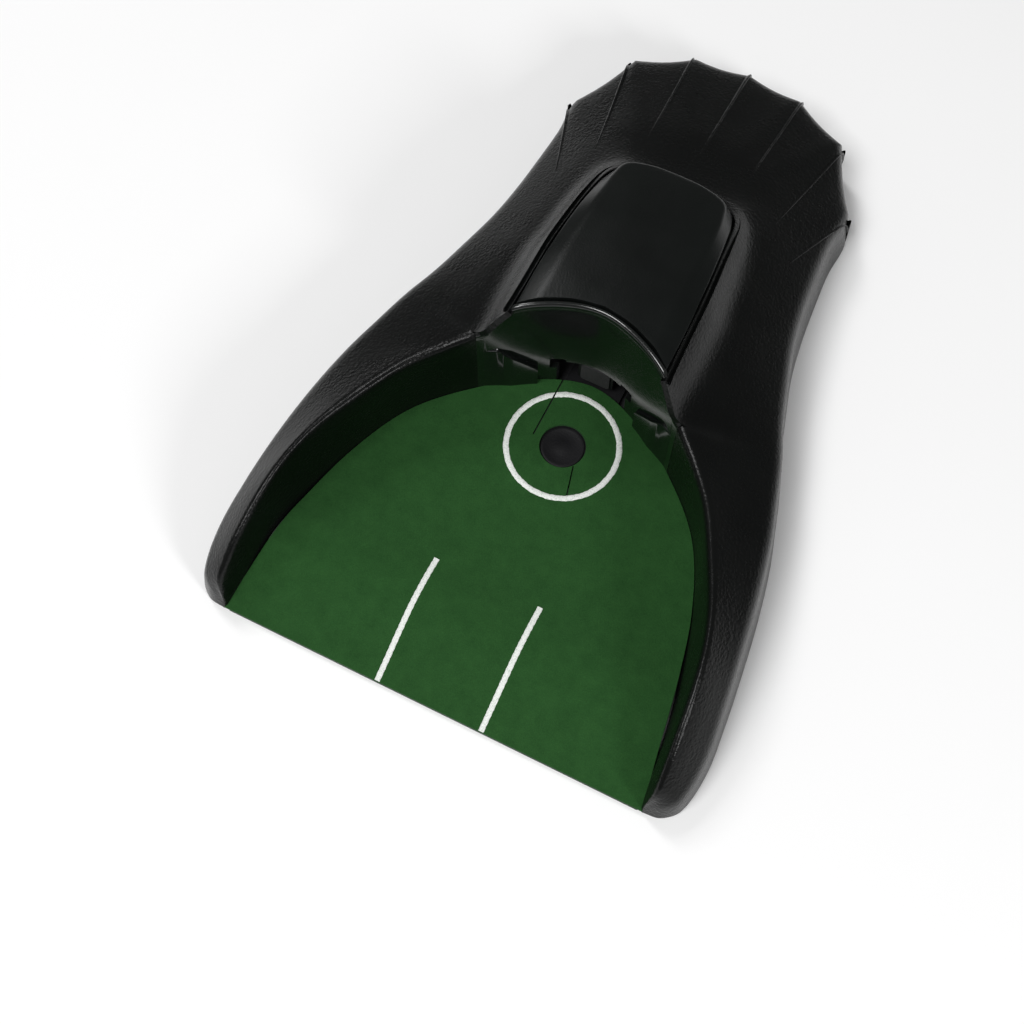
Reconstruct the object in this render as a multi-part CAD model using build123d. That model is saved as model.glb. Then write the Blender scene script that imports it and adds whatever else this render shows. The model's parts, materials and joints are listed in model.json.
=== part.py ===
from build123d import *
import os
from bisect import bisect_right
from math import atan2, cos, degrees, hypot, pi, radians, sin, sqrt, tan

# Electric putting cup: a ball rolls up a felt ramp between two wings, stops on the
# trigger disc, and a motor-driven striker in the cup wall kicks it back.
# Millimetres. +Z up, origin on the floor under the middle of the body, mouth at -Y.

# ---------------------------------------------------------------- driving dimensions
HALF_LENGTH = 141.0          # nose line to the middle and middle to the rear tip
CUP_Y = -32.5                # centre of the ring and of the trigger disc
DRAFT = tan(radians(6))      # side walls lean in by this much for each mm of height
WALL = 2.4                   # wall of the moulded body
SHELL_BOTTOM = 1.0
BASE_BOTTOM, BASE_TOP = 1.2, 3.0
FELT = 1.3                   # thickness of the felt
DECK = 2.0                   # thickness of the ramp moulding
FIT = 0.35                   # gap between mouldings that sit next to each other
LINER = 2.2                  # thickness of the cup wall
LIP_Z = 66.8                 # top of the cup wall
WINDOW_TOP = 23.8            # top of the striker's window in the cup wall
HOLE_R, DISC_R = 8.7, 8.2
RING_OUT, RING_IN = 22.1, 19.9
LINE_X, LINE_W = 20.6, 2.1   # the two aiming lines
LINE_END_Y = -93.5
PRINT = 0.12                 # thickness of the white print
MOUTH_STEPS = 18             # flats along each half of the mouth wall
RUN = 0.04                   # radial clearance of turning fits

TRIGGER_Y, TRIGGER_Z = 6.0, 6.0
STROKE_R = 10.0              # pitch radius of the gear that drives the rack
STROKE_TEETH, STROKE_M = 20, 1.0
BIG_TEETH, BIG_M = 40, 0.8
IDLER_TEETH = 12
WHEEL_TEETH, WHEEL_M = 44, 0.5
PINION_TEETH = 12
PRESSURE = radians(25)
BACKLASH = 0.16              # thinning of each tooth, as a share of the module
COCK_Y, COCK_Z = 34.0, 36.0
IDLER_ANGLE, PINION_ANGLE = radians(-25), radians(-72)
PLATE_L, PLATE_R, PLATE_T = -8.0, 14.0, 1.5

# ---------------------------------------------------------------- outlines (right half)
# Stations round the body from the nose to the tail. Each has the wall's foot (x, y), the
# height of the shoulder above it, and the crest (x, y, z) that the top falls away from.
# The crest is the rim of the mouth, then the foot of the hood.
STATIONS = [
    ((80.0, -141.0), 8.0, (84.0, -138.0, 14.5)),
    ((89.5, -140.0), 9.5, (85.5, -136.5, 18.0)),
    ((95.0, -134.5), 12.0, (84.6, -132.0, 23.0)),
    ((97.6, -119.0), 17.0, (83.8, -122.0, 30.5)),
    ((96.6, -101.0), 23.5, (81.4, -101.5, 39.2)),
    ((94.6, -82.0), 28.3, (76.5, -82.5, 42.5)),
    ((91.8, -61.0), 30.0, (68.5, -63.5, 44.0)),
    ((88.0, -41.0), 30.0, (56.8, -44.5, 45.0)),
    ((83.7, -25.5), 30.0, (46.0, -33.0, 47.0)),
    ((79.0, -10.0), 30.0, (37.8, -22.0, 50.2)),
    ((73.7, 4.0), 30.0, (38.8, -6.0, 50.0)),
    ((69.0, 19.5), 30.0, (38.2, 12.0, 49.4)),
    ((65.0, 34.0), 30.0, (36.6, 24.0, 48.6)),
    ((62.6, 49.0), 29.0, (35.0, 38.0, 47.6)),
    ((61.2, 64.0), 27.5, (33.0, 50.0, 46.8)),
    ((60.2, 82.0), 24.5, (30.0, 60.0, 46.0)),
    ((60.5, 100.0), 21.0, (24.5, 67.0, 45.5)),
    ((46.5, 127.0), 23.5, (15.0, 69.8, 45.2)),
    ((23.3, 138.2), 25.0, (7.0, 70.3, 45.0)),
    ((0.0, HALF_LENGTH - 0.7), 25.5, (0.0, 70.5, 45.0)),
]
# The last four stations are the tips of ribs, which start here.
RIB_STARTS = [(46.5, 57.0), (36.5, 70.0), (20.5, 82.0), (0.0, 84.0)]
# Hood: its edge at the recess (x, y, z) and the edge of its flat top (x, y, z).
HOOD = [
    ((28.4, -16.0, 65.4), (22.0, -16.0, 67.0)),
    ((28.5, 6.0, 65.0), (22.0, 6.0, 66.8)),
    ((27.9, 20.0, 63.8), (21.9, 20.0, 66.0)),
    ((27.0, 34.0, 61.4), (21.7, 34.0, 64.7)),
    ((25.9, 46.0, 57.6), (21.4, 46.0, 63.0)),
    ((24.6, 55.0, 53.4), (21.0, 53.5, 61.4)),
    ((21.5, 60.0, 52.0), (19.5, 57.5, 60.6)),
    ((11.0, 62.0, 52.0), (10.5, 60.2, 60.9)),
    ((0.0, 62.3, 52.0), (0.0, 60.8, 61.2)),
]
# Foot of the mouth wall, which is also the edge of the felt.
MOUTH = [
    (83.0, -141.0), (79.8, -124.0), (74.9, -94.5), (69.0, -69.5), (58.4, -45.5), (42.0, -27.5),
    (20.5, -12.0), (0.0, -5.5),
]
# Felt surface along the ramp: steep curved lip, crest, gentle fall to the cup.
RAMP = [
    (-141.0, 2.2), (-131.5, 6.0), (-121.5, 10.3), (-112.5, 13.3), (-102.5, 13.8), (-92.5, 12.3),
    (-77.5, 10.5), (-57.5, 9.1), (-32.5, 8.5), (-4.0, 8.4),
]


def lerp_table(table, key):
    """Straight-line reading of a table of (key, value) pairs."""
    keys = [row[0] for row in table]
    if key <= keys[0]:
        return table[0][1]
    if key >= keys[-1]:
        return table[-1][1]
    i = bisect_right(keys, key)
    (k0, v0), (k1, v1) = table[i - 1], table[i]
    return v0 + (v1 - v0) * (key - k0) / (k1 - k0)


def smooth(t):
    t = min(max(t, 0.0), 1.0)
    return t * t * (3 - 2 * t)


def mirrored(half):
    """A whole outline from its right half, in order round the shape."""
    left = [(-p[0], *p[1:]) for p in reversed(half) if p[0] > 0]
    return list(half) + left


def moved_in(points, distance):
    """Points of a right half moved inwards by a distance, square to the outline."""
    out = []
    last = len(points) - 1
    for i, (x, y) in enumerate(points):
        ax, ay = points[max(i - 1, 0)]
        bx, by = points[i + 1] if i < last else (-points[i - 1][0], points[i - 1][1])
        d = distance(x, y) if callable(distance) else distance
        if i == 0:
            out.append((x, y + d))
            continue
        ux, uy = bx - ax, by - ay
        size = hypot(ux, uy)
        out.append((x - uy / size * d, y + ux / size * d))
    if abs(points[-1][0]) < 1e-9:
        out[-1] = (0.0, out[-1][1])
    return out


# ---------------------------------------------------------------- solids from outlines
def faceted(rings):
    """Solid from symmetric closed rings of points, the lowest ring flat."""
    count = len(rings[0])
    faces = [Face(Wire.make_polygon(rings[0]))]
    for low, high in zip(rings, rings[1:]):
        for i in range(count):
            j = (i + 1) % count
            faces.append(Face(Wire.make_polygon([low[i], low[j], high[j]])))
            faces.append(Face(Wire.make_polygon([low[i], high[j], high[i]])))
    top = rings[-1]
    half = (count - 1) // 2
    for i in range(half):
        quad = [top[i], top[i + 1], top[count - 2 - i], top[count - 1 - i]]
        if i == half - 1:
            quad = [top[i], top[i + 1], top[count - 1 - i]]
        faces.append(Face(Wire.make_polygon(quad)))
    return Solid(Shell(faces))


FOOT = [station[0] for station in STATIONS]
CHAMFER = 2.2                # flat that breaks the shoulder
SADDLE_X, SADDLE_TAPER = 32.2, 3.0   # half width of the foot of the hood, and its narrowing
SADDLE_BELOW, SADDLE_IN = 0.6, 0.5
SADDLE_NARROWS = (-12.0, 80.0)       # spans along Y: start, length
SLOPE_STARTS, SLOPE_ENDS = (-34.0, 14.0), (48.0, 14.0)
FAN_STARTS, FAN_BACK = (58.0, 8.0), 4.0
NOSE_END_Y, NOSE_BACK = -110.0, 6.0


def body_ring(inset, heights):
    """Ring of the body wall moved in by a distance, at the height given for each station."""
    rows = []
    for i, z in enumerate(heights):
        x, y = moved_in(FOOT, inset + DRAFT * z)[i]
        rows.append((x, y, z))
    return mirrored(rows)


def body_solid(inset, drop, z0):
    """The whole body as a block, moved in and lowered, from a height upwards."""
    shoulders = [station[1] - drop for station in STATIONS]
    wall_top = [max(z - CHAMFER, z0 + 0.5) for z in shoulders]
    crest = mirrored([(x, y, z - drop) for _, _, (x, y, z) in STATIONS])
    rings = [body_ring(inset, [z0] * len(FOOT)), body_ring(inset, wall_top)]
    rings += [body_ring(inset + CHAMFER, shoulders), crest, saddle_ring(drop)]
    return faceted(rings)


def body_prism(inset, z0, z1):
    """Drafted block inside the body outline between two heights."""
    rings = [body_ring(inset, [z] * len(FOOT)) for z in (z0, z1)]
    return faceted(rings)


def fade(y, span):
    """0 before a span (start, length) along Y, 1 after it."""
    start, length = span
    return smooth((y - start) / length)


def saddle_ring(drop):
    """Top edge of the slope that rises from the crest to the recess of the hood."""
    rows = []
    for _, _, (x, y, z) in STATIONS[:-1]:
        rise = max(hood_edge_z(y) - SADDLE_BELOW - z, 0.0)
        rise *= fade(y, SLOPE_STARTS) * (1 - fade(y, SLOPE_ENDS))
        near = min(x, SADDLE_X - SADDLE_TAPER * fade(y, SADDLE_NARROWS))
        share = fade(y, FAN_STARTS)
        across_x = near + (x - near) * share - SADDLE_IN
        back = y
        if y < NOSE_END_Y:
            back += NOSE_BACK
        elif y > FAN_STARTS[0]:
            back -= FAN_BACK
        rows.append((max(across_x, 0.0), back, z - drop + rise))
    tail = STATIONS[-1][2]
    rows.append((0.0, tail[1] - FAN_BACK, tail[2] - drop))
    return mirrored(rows)


def mouth_lean(y):
    """How far the mouth wall leans out at height 36 above the felt."""
    return 4.8 * smooth((-52 - y) / 42)


def mouth_ring(outset, z):
    """Outline of the mouth pushed outwards by a distance, at a height."""
    half = moved_in(MOUTH, lambda x, y: -(outset + mouth_lean(y) * (z - 8) / 36))
    half[0] = (MOUTH[0][0] + outset, MOUTH[0][1] - 12)
    curve = Edge.make_spline([(x, y, z) for x, y in mirrored(half)])
    right = [curve @ (i / (2 * MOUTH_STEPS)) for i in range(MOUTH_STEPS)]
    ring = [(p.X, p.Y, z) for p in right] + [(0.0, half[-1][1], z)]
    return mirrored(ring)


def mouth_prism(outset, z0, z1):
    return faceted([mouth_ring(outset, z0), mouth_ring(outset, z1)])


def hood_edge_z(y):
    """Height of the recess edge that the hood sits in."""
    return lerp_table([(edge[1], edge[2]) for edge, _ in HOOD[:6]], y)


def block(x0, x1, y0, y1, z0, z1):
    size = (x1 - x0, y1 - y0, z1 - z0)
    return Pos((x0 + x1) / 2, (y0 + y1) / 2, (z0 + z1) / 2) * Box(*size)


def upright(x, y, z0, z1, r):
    return Pos(x, y, (z0 + z1) / 2) * Cylinder(r, z1 - z0)


def across(y, z, x0, x1, r):
    """Cylinder along X."""
    return Pos((x0 + x1) / 2, y, z) * Rot(0, 90, 0) * Cylinder(r, x1 - x0)


def ramp_solid(top_drop, bottom_drop, x_max=100.0):
    """Layer that follows the ramp between two depths below the felt surface."""
    top = [(0, y, z - top_drop) for y, z in RAMP]
    low = [(0, y, max(z - bottom_drop, 0.3)) for y, z in RAMP]
    edges = [Edge.make_spline([Vector(*p) for p in top])]
    edges.append(Edge.make_line(top[-1], low[-1]))
    edges.append(Edge.make_spline([Vector(*p) for p in reversed(low)]))
    edges.append(Edge.make_line(low[0], top[0]))
    face = Face(Wire(edges))
    return Pos(-x_max, 0, 0) * Solid.extrude(face, Vector(2 * x_max, 0, 0))


# ---------------------------------------------------------------- body and hood
RIB_PROUD, RIB_WIDTH = 0.9, 1.2
FAN_TOP_Y, FAN_TOP_Z = 67.0, 44.8    # where the rear fan meets the foot of the hood
LEDGE_Z = 40.0
HOOD_BOSSES = [(side * 24.2, y) for side in (1, -1) for y in (6, 44)]
POST_PLACES = [(89, -113), (81, -45), (59, 32), (47, 104)]
CASE_POSTS = [(side * x, y) for side in (1, -1) for x, y in POST_PLACES]
POST_R = 3.4


def hood_plan(inset):
    """Plan of the hood moved in by a distance; the cup cuts off its front."""
    half = moved_in([edge[:2] for edge, _ in HOOD], inset)
    half[0] = (half[0][0], HOOD[0][0][1])
    return half


def hood_prism(inset, z0, z1):
    face = Face(Wire.make_polygon([(x, y, z0) for x, y in mirrored(hood_plan(inset))]))
    return Solid.extrude(face, Vector(0, 0, z1 - z0))


def hood_solid(inset, drop, z0):
    plan = hood_plan(inset)
    foot = [(x, y, z0) for x, y in plan]
    edge = [(x, y, z - drop) for (x, y), ((_, _, z), _) in zip(plan, HOOD)]
    top = [(max(x - inset / 2, 0.0), y - inset * (y > 50), z - drop) for _, (x, y, z) in HOOD]
    return faceted([mirrored(row) for row in (foot, edge, top)])


def make_rib(start, tip, shoulder_z, crest_z):
    """Ridge that runs down the rear fan and over the shoulder to a tip."""
    run = hypot(tip[0] - start[0], tip[1] - start[1])
    edge = run - DRAFT * shoulder_z
    profile = [
        (0.0, crest_z - 2.5), (0.0, crest_z - 0.2), (5.0, crest_z - 1.2 + RIB_PROUD),
        (edge - 2.0, shoulder_z + RIB_PROUD), (edge + 0.8, shoulder_z - 1.4), (run + 0.7, SHELL_BOTTOM),
        (run - 1.0, SHELL_BOTTOM), (edge - 1.6, shoulder_z - 1.6),
    ]
    dx, dy = tip[0] - start[0], tip[1] - start[1]
    along = Plane(origin=(*start, 0), x_dir=(dx, dy, 0), z_dir=(dy, -dx, 0))
    face = along * Face(Wire.make_polygon([(s, z, 0) for s, z in profile]))
    thick = face.normal_at() * RIB_WIDTH
    return Solid.extrude(face.moved(Location(thick * -0.5)), thick)


def make_ribs():
    """Seven ridges from behind the hood to the tips round the back."""
    ribs = []
    for start, ((x, y), shoulder_z, _) in zip(RIB_STARTS, STATIONS[-4:]):
        share = hypot(x - start[0], y - start[1]) / (y - FAN_TOP_Y)
        start_z = min(shoulder_z + (FAN_TOP_Z - shoulder_z) * share, FAN_TOP_Z)
        for side in (1, -1) if x else (1,):
            ribs.append(make_rib((side * start[0], start[1]), (side * x, y), shoulder_z, start_z))
    return ribs


def make_top_shell():
    shell = body_solid(0, 0, SHELL_BOTTOM) - mouth_prism(0, -2, 80)
    shell -= body_solid(WALL, WALL, SHELL_BOTTOM - 2) - mouth_prism(WALL, -2, 80)
    # Recess for the hood, with a wall round it and a ledge that the hood stands on.
    ring = hood_prism(-2.2, LEDGE_Z - 1.6, 74) & body_solid(WALL / 2, WALL / 2, 5)
    shell += ring - mouth_prism(LINER + 2, -2, 80)
    shell -= hood_prism(-FIT, LEDGE_Z, 80)
    shell -= hood_prism(6.2, LEDGE_Z - 10, 80)
    lower = body_solid(WALL / 2, WALL / 2, 2)
    for x, y in CASE_POSTS:
        shell += upright(x, y, BASE_TOP + 0.1, 60, POST_R) & lower
        shell -= upright(x, y, BASE_TOP, 12, 1.25)
    for x, y in HOOD_BOSSES:
        shell -= upright(x, y, LEDGE_Z - 10, LEDGE_Z + 1, 1.6)
    shell += make_ribs()
    # Room for the separate cup wall and for the base plate.
    shell -= mouth_prism(LINER + FIT, -2, 80) & block(-37.6, 37.6, -40, 10, -2, 80)
    shell -= body_prism(WALL + FIT, -1, BASE_TOP + 0.1) - nose_block()
    return shell


def nose_block():
    """Space in front of the base plate's edge, where the ramp's lip is."""
    return block(-87, 87, -150, -129, -5, 10)


def make_hood_cover():
    hood = hood_solid(0, 0, LEDGE_Z + 0.05) - hood_solid(2.0, 2.2, LEDGE_Z - 1)
    inside = hood_solid(1.0, 1.1, LEDGE_Z + 0.05)
    for x, y in HOOD_BOSSES:
        hood += upright(x, y, LEDGE_Z + 0.05, 66, 2.9) & inside
        hood -= upright(x, y, LEDGE_Z - 1, LEDGE_Z + 8, 1.05)
    hood -= mouth_prism(LINER + FIT, -2, 80)
    hood -= block(-12, 12, -20, 8, 30, 40)
    return hood


def make_cup_liner():
    room = block(-37.3, 37.3, -40, 10, BASE_TOP + 0.1, 80)
    wall = (mouth_prism(LINER, 0, 80) - mouth_prism(0, 0, 80)) & room
    # The top runs level round the lip and drops at both cheeks to the rim of the wings.
    cheek = [(-60, 50), (-36, 50), (-30, 63.4), (-26, 65.6), (-16, LIP_Z), (16, LIP_Z)]
    cheek += [(26, 65.6), (30, 63.4), (36, 50), (60, 50), (60, 0), (-60, 0)]
    face = Face(Wire.make_polygon([(x, 40, z) for x, z in cheek]))
    wall &= Solid.extrude(face, Vector(0, -90, 0))
    # Thicker blocks stand in front of the wall on both sides of the striker window.
    skirt = [(20.5, 9.0), (20.5, 20.0), (33.0, 36.0), (36.5, 36.0), (36.5, 9.0)]
    inner = mouth_prism(0.2, 0, 80) - mouth_prism(-1.8, 0, 80)
    for side in (1, -1):
        part = Face(Wire.make_polygon([(side * x, 40, z) for x, z in skirt]))
        wall += inner & Solid.extrude(part, Vector(0, -90, 0))
    wall -= block(-14, 14, -30, 10, 8.8, WINDOW_TOP)
    wall -= block(-16.5, -11, -30, 10, 18.5, 25.6) + block(11, 16.5, -30, 10, 18.5, 25.6)
    wall -= block(-12, 12, -30, 10, 0, 8.9)
    wall -= ramp_solid(-0.6, 9) & mouth_prism(-0.1, 0, 80)
    return wall.solids().sort_by(SortBy.VOLUME)[-1]


# ---------------------------------------------------------------- ramp, felt and print
def make_ramp_deck():
    deck = ramp_solid(FELT, FELT + DECK) & mouth_prism(-FIT, -2, 40)
    deck &= block(-90, 90, -141, 0, 0, 40)
    for x in (-62, -32, 32, 62):
        rib = block(x - 0.8, x + 0.8, -120, -46, BASE_TOP + 0.05, 20)
        deck += rib & ramp_solid(FELT + DECK / 2, 30) & mouth_prism(-1, -2, 40)
    deck -= block(-11.6, 11.6, -46.2, 4, 0, 20)
    return deck.solids().sort_by(SortBy.VOLUME)[-1]


def slit(x0, y0, x1, y1):
    """Narrow cut through the felt."""
    turn = degrees(atan2(y1 - y0, x1 - x0))
    length = hypot(x1 - x0, y1 - y0)
    return Pos(x0, y0, 10) * Rot(0, 0, turn) * Pos(length / 2, 0, 0) * Box(length, 0.5, 20)


def make_felt_mat():
    felt = ramp_solid(0, FELT - 0.02) & mouth_prism(-0.15, -2, 40)
    felt &= block(-90, 90, -140.9, 0, 0, 40)
    felt -= upright(0, CUP_Y, 0, 20, HOLE_R)
    felt -= slit(-11.5, -3, -12.0, -32) + slit(9.5, -36, 10.5, -52)
    return felt.solids().sort_by(SortBy.VOLUME)[-1]


def on_felt(plan):
    """Thin print lying on the felt inside a plan prism."""
    return ramp_solid(-PRINT, -0.01) & plan


def make_ring_marking():
    plan = upright(0, CUP_Y, 0, 20, RING_OUT) - upright(0, CUP_Y, 0, 20, RING_IN)
    return on_felt(plan - slit(-11.5, -3, -12.0, -32))


def make_line_markings():
    half = LINE_W / 2
    lines = []
    for x in (-LINE_X, LINE_X):
        lines.append(on_felt(block(x - half, x + half, -140.6, LINE_END_Y, 0, 20)))
    return lines


# ---------------------------------------------------------------- bottom
FEET = [(70, -104), (-70, -104), (40, 112), (-40, 112)]
BAY = (-31.6, 31.6, 70.0, 127.0)         # battery bay: x0, x1, y0, y1
CELL_R, CELL_LENGTH, CELL_PITCH = 7.25, 50.5, 14.9
CELL_Y0 = 73.2
CELL_Z = BASE_TOP + 0.9 + CELL_R
CELL_X = [CELL_PITCH * (i - 1.5) for i in range(4)]
BOARD = (-41.0, -19.0, 2.0, 42.0, 9.0)   # x0, x1, y0, y1, underside
BOARD_POSTS = [(-37.5, 5.5), (-22.5, 38.5)]
PIVOT_POSTS = [-15.6, 12.6]
GEARBOX_FEET = [(-13.0, 22), (-13.0, 62), (19.0, 20), (19.0, 38)]
SWITCH_Y = 40.0


def make_base_plate():
    plate = body_prism(WALL + 2 * FIT, BASE_BOTTOM, BASE_TOP) - nose_block()
    x0, x1, y0, y1 = BAY
    plate -= block(x0 + 1.2, x1 - 1.2, y0 + 1.2, y1 - 1.2, 0, 10)
    for x, y in CASE_POSTS:
        plate -= upright(x, y, 0, 10, 1.7)
        plate -= upright(x, y, 0, BASE_BOTTOM + 0.9, 3.0)
    for x, y in GEARBOX_FEET:
        plate -= upright(x, y, 0, 10, 1.25)
    for x in PIVOT_POSTS:
        post = block(x, x + 3, TRIGGER_Y - 3, TRIGGER_Y + 3, BASE_TOP - 0.5, 9.2)
        plate += post - across(TRIGGER_Y, TRIGGER_Z, x - 1, x + 4, 1.2)
    for x, y in BOARD_POSTS:
        plate += upright(x, y, BASE_TOP - 0.5, BOARD[4], 2.6) - upright(x, y, 4, 12, 1.0)
    plate -= block(-51.0, -39.0, SWITCH_Y - 2.2, SWITCH_Y + 2.2, 0, 10)
    return plate


def make_battery_door():
    x0, x1, y0, y1 = BAY
    door = block(x0 + 1.5, x1 - 1.5, y0 + 1.5, y1 - 1.5, BASE_BOTTOM, BASE_TOP)
    for i in range(4):
        y = y0 + 6 + 2.4 * i
        door -= block(-9, 9, y, y + 1.2, BASE_BOTTOM - 0.1, BASE_BOTTOM + 0.5)
    return door


def make_battery_tray():
    x0, x1, y0, y1 = BAY
    top = CELL_Z + CELL_R + 1.5
    tray = block(x0, x1, y0, y1, BASE_TOP + 0.05, top)
    tray -= block(x0 + 1.2, x1 - 1.2, y0 + 1.2, y1 - 1.2, 0, CELL_Z)
    for x in CELL_X:
        tray -= Pos(x, (y0 + y1) / 2, CELL_Z) * Rot(90, 0, 0) * Cylinder(CELL_R + 0.15, y1 - y0 - 2.4)
    return tray


def make_battery_cells():
    cells = []
    for i, x in enumerate(CELL_X):
        middle = Pos(x, CELL_Y0 + CELL_LENGTH / 2, CELL_Z)
        body = middle * Rot(90, 0, 0) * Cylinder(CELL_R, CELL_LENGTH - 1.2)
        end = CELL_Y0 + (0.7 if i % 2 else CELL_LENGTH - 0.7)
        nub = Pos(x, end, CELL_Z) * Rot(90, 0, 0) * Cylinder(2.7, 1.4)
        cells.append(body + nub)
    return cells


def make_battery_contacts():
    """Flat plates against the positive ends, in the tray's end walls."""
    plates = []
    for i, x in enumerate(CELL_X):
        y = CELL_Y0 - 0.45 if i % 2 else CELL_Y0 + CELL_LENGTH + 0.45
        plates.append(block(x - 5, x + 5, y - 0.25, y + 0.25, CELL_Z - 5, CELL_Z + 5))
    return plates


def coil(radius, wire, height, turns):
    path = Helix(pitch=height / turns, height=height, radius=radius)
    profile = Plane(path @ 0, z_dir=path % 0) * Circle(wire / 2)
    return sweep(profile, path=path, is_frenet=True)


def make_battery_springs():
    springs = []
    for i, x in enumerate(CELL_X):
        start = CELL_Y0 + CELL_LENGTH - 0.2 if i % 2 else CELL_Y0 - 1.6
        springs.append(Pos(x, start, CELL_Z) * Rot(-90, 0, 0) * coil(3.0, 0.5, 1.5, 1.5))
    return springs


def make_case_screws():
    screws = []
    for x, y in CASE_POSTS:
        head = upright(x, y, BASE_BOTTOM - 0.6, BASE_BOTTOM + 0.85, 2.8)
        slot = block(x - 2, x + 2, y - 0.35, y + 0.35, 0, 1.2)
        slot += block(x - 0.35, x + 0.35, y - 2, y + 2, 0, 1.2)
        screws.append(head - slot + upright(x, y, BASE_BOTTOM, 11.5, 1.2))
    return screws


def make_hood_screws():
    screws = []
    for x, y in HOOD_BOSSES:
        head = upright(x, y, LEDGE_Z - 3.4, LEDGE_Z - 1.65, 2.5)
        screws.append(head + upright(x, y, LEDGE_Z - 2, LEDGE_Z + 7.5, 1.0))
    return screws


def make_rubber_feet():
    feet = []
    for x, y in FEET:
        foot = upright(x, y, 0, BASE_BOTTOM, 6.0)
        feet.append(chamfer(foot.edges().group_by(Axis.Z)[0], 0.4))
    return feet


# ---------------------------------------------------------------- trigger
def make_trigger_lever():
    plate = block(-11, 11, -45, 3.2, 5.1, 6.9)
    plate += block(-11, 11, 3.2, 8.6, 5.1, 6.9)
    plate += across(TRIGGER_Y, TRIGGER_Z, -11, 11, 2.5)
    plate += block(5.2, 11, 8.0, 21.0, 5.1, 6.9)
    plate -= across(TRIGGER_Y, TRIGGER_Z, -20, 20, 1.2 + RUN)
    plate -= upright(0, CUP_Y, 4, 8, 3.1)
    return plate


def make_trigger_button():
    disc = upright(0, CUP_Y, 6.95, 7.7, DISC_R)
    disc = fillet(disc.edges().group_by(Axis.Z)[-1], 0.35)
    return disc + upright(0, CUP_Y, 5.2, 7.2, 3.05)


def make_trigger_spring():
    return Pos(0, -24, BASE_TOP + 0.3) * coil(3.0, 0.5, 1.45, 2)


def make_trigger_pin():
    return across(TRIGGER_Y, TRIGGER_Z, PIVOT_POSTS[0] - 0.4, PIVOT_POSTS[1] + 3.4, 1.2)


SWITCH = (6.0, 11.8, 13.0, 25.8, 9.4, 15.9)


def make_micro_switch_body():
    x0, x1, y0, y1, z0, z1 = SWITCH
    body = block(*SWITCH) - block(7.4, 10.4, 18.4, 21.6, 8, 12.2)
    for y in (y0 + 3, y1 - 3):
        body -= across(y, z1 - 2, x0 - 1, x1 + 1, 0.9)
    legs = [block(8.4, 9.4, y - 0.4, y + 0.4, z1 - 0.2, z1 + 2.6) for y in (15.0, 19.4, 23.8)]
    return body + legs


def make_micro_switch_plunger():
    return block(7.6, 10.2, 18.6, 21.4, 7.1, 11.2)


# ---------------------------------------------------------------- gears and striker
def gear_face(teeth, module, keep=None):
    """Outline of a spur gear in XY with a tooth on +X, thinned for backlash."""
    pitch = teeth * module / 2
    base = pitch * cos(PRESSURE)
    tip, root = pitch + 0.95 * module, pitch - 1.2 * module
    half = pi / (2 * teeth) - BACKLASH * module / (2 * pitch)
    inv = tan(PRESSURE) - PRESSURE

    def flank(r):
        if r <= base:
            return half + inv
        a = sqrt((r / base) ** 2 - 1)
        return half + inv - (a - atan2(a, 1))

    low = max(base, root)
    radii = [low + (tip - low) * k / 4 for k in range(5)]
    points = []
    for n in range(teeth):
        middle = 2 * pi * n / teeth
        if keep and not keep(middle):
            points.append((root * cos(middle), root * sin(middle)))
            continue
        sides = [(root, flank(low))] + [(r, flank(r)) for r in radii]
        for r, a in sides:
            points.append((r * cos(middle - a), r * sin(middle - a)))
        for r, a in reversed(sides):
            points.append((r * cos(middle + a), r * sin(middle + a)))
    return Face(Wire.make_polygon([(x, y, 0) for x, y in points]))


def gear(teeth, module, x0, x1, y, z, tooth_angle, keep=None):
    """Spur gear about an axis along X, with a tooth at an angle in the YZ plane."""
    solid = Solid.extrude(gear_face(teeth, module, keep), Vector(0, 0, x1 - x0))
    frame = Plane(origin=(x0, y, z), x_dir=(0, cos(tooth_angle), sin(tooth_angle)), z_dir=(1, 0, 0))
    return frame * solid


BIG_R = BIG_TEETH * BIG_M / 2
IDLER_R = IDLER_TEETH * BIG_M / 2
WHEEL_R = WHEEL_TEETH * WHEEL_M / 2
PINION_R = PINION_TEETH * WHEEL_M / 2
IDLER_Y = COCK_Y + (BIG_R + IDLER_R) * cos(IDLER_ANGLE)
IDLER_Z = COCK_Z + (BIG_R + IDLER_R) * sin(IDLER_ANGLE)
MOTOR_Y = IDLER_Y + (WHEEL_R + PINION_R) * cos(PINION_ANGLE)
MOTOR_Z = IDLER_Z + (WHEEL_R + PINION_R) * sin(PINION_ANGLE)
RACK_PITCH_Z = COCK_Z - STROKE_R


def make_cocking_gear():
    # The small gear is cut away on its far side, where it lets the rack go.
    def keep(angle):
        return cos(angle - radians(20)) > -0.75

    big = gear(BIG_TEETH, BIG_M, 4.7, 8.3, COCK_Y, COCK_Z, IDLER_ANGLE)
    for k in range(5):
        a = radians(72 * k + 20)
        big -= across(COCK_Y + 10.6 * cos(a), COCK_Z + 10.6 * sin(a), 4, 9, 2.6)
    small = gear(STROKE_TEETH, STROKE_M, -3.3, 4.9, COCK_Y, COCK_Z, -pi / 2, keep)
    hub = across(COCK_Y, COCK_Z, -7.7, 13.7, 2.9)
    return big + small + hub - across(COCK_Y, COCK_Z, -20, 20, 1.5 + RUN)


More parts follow.
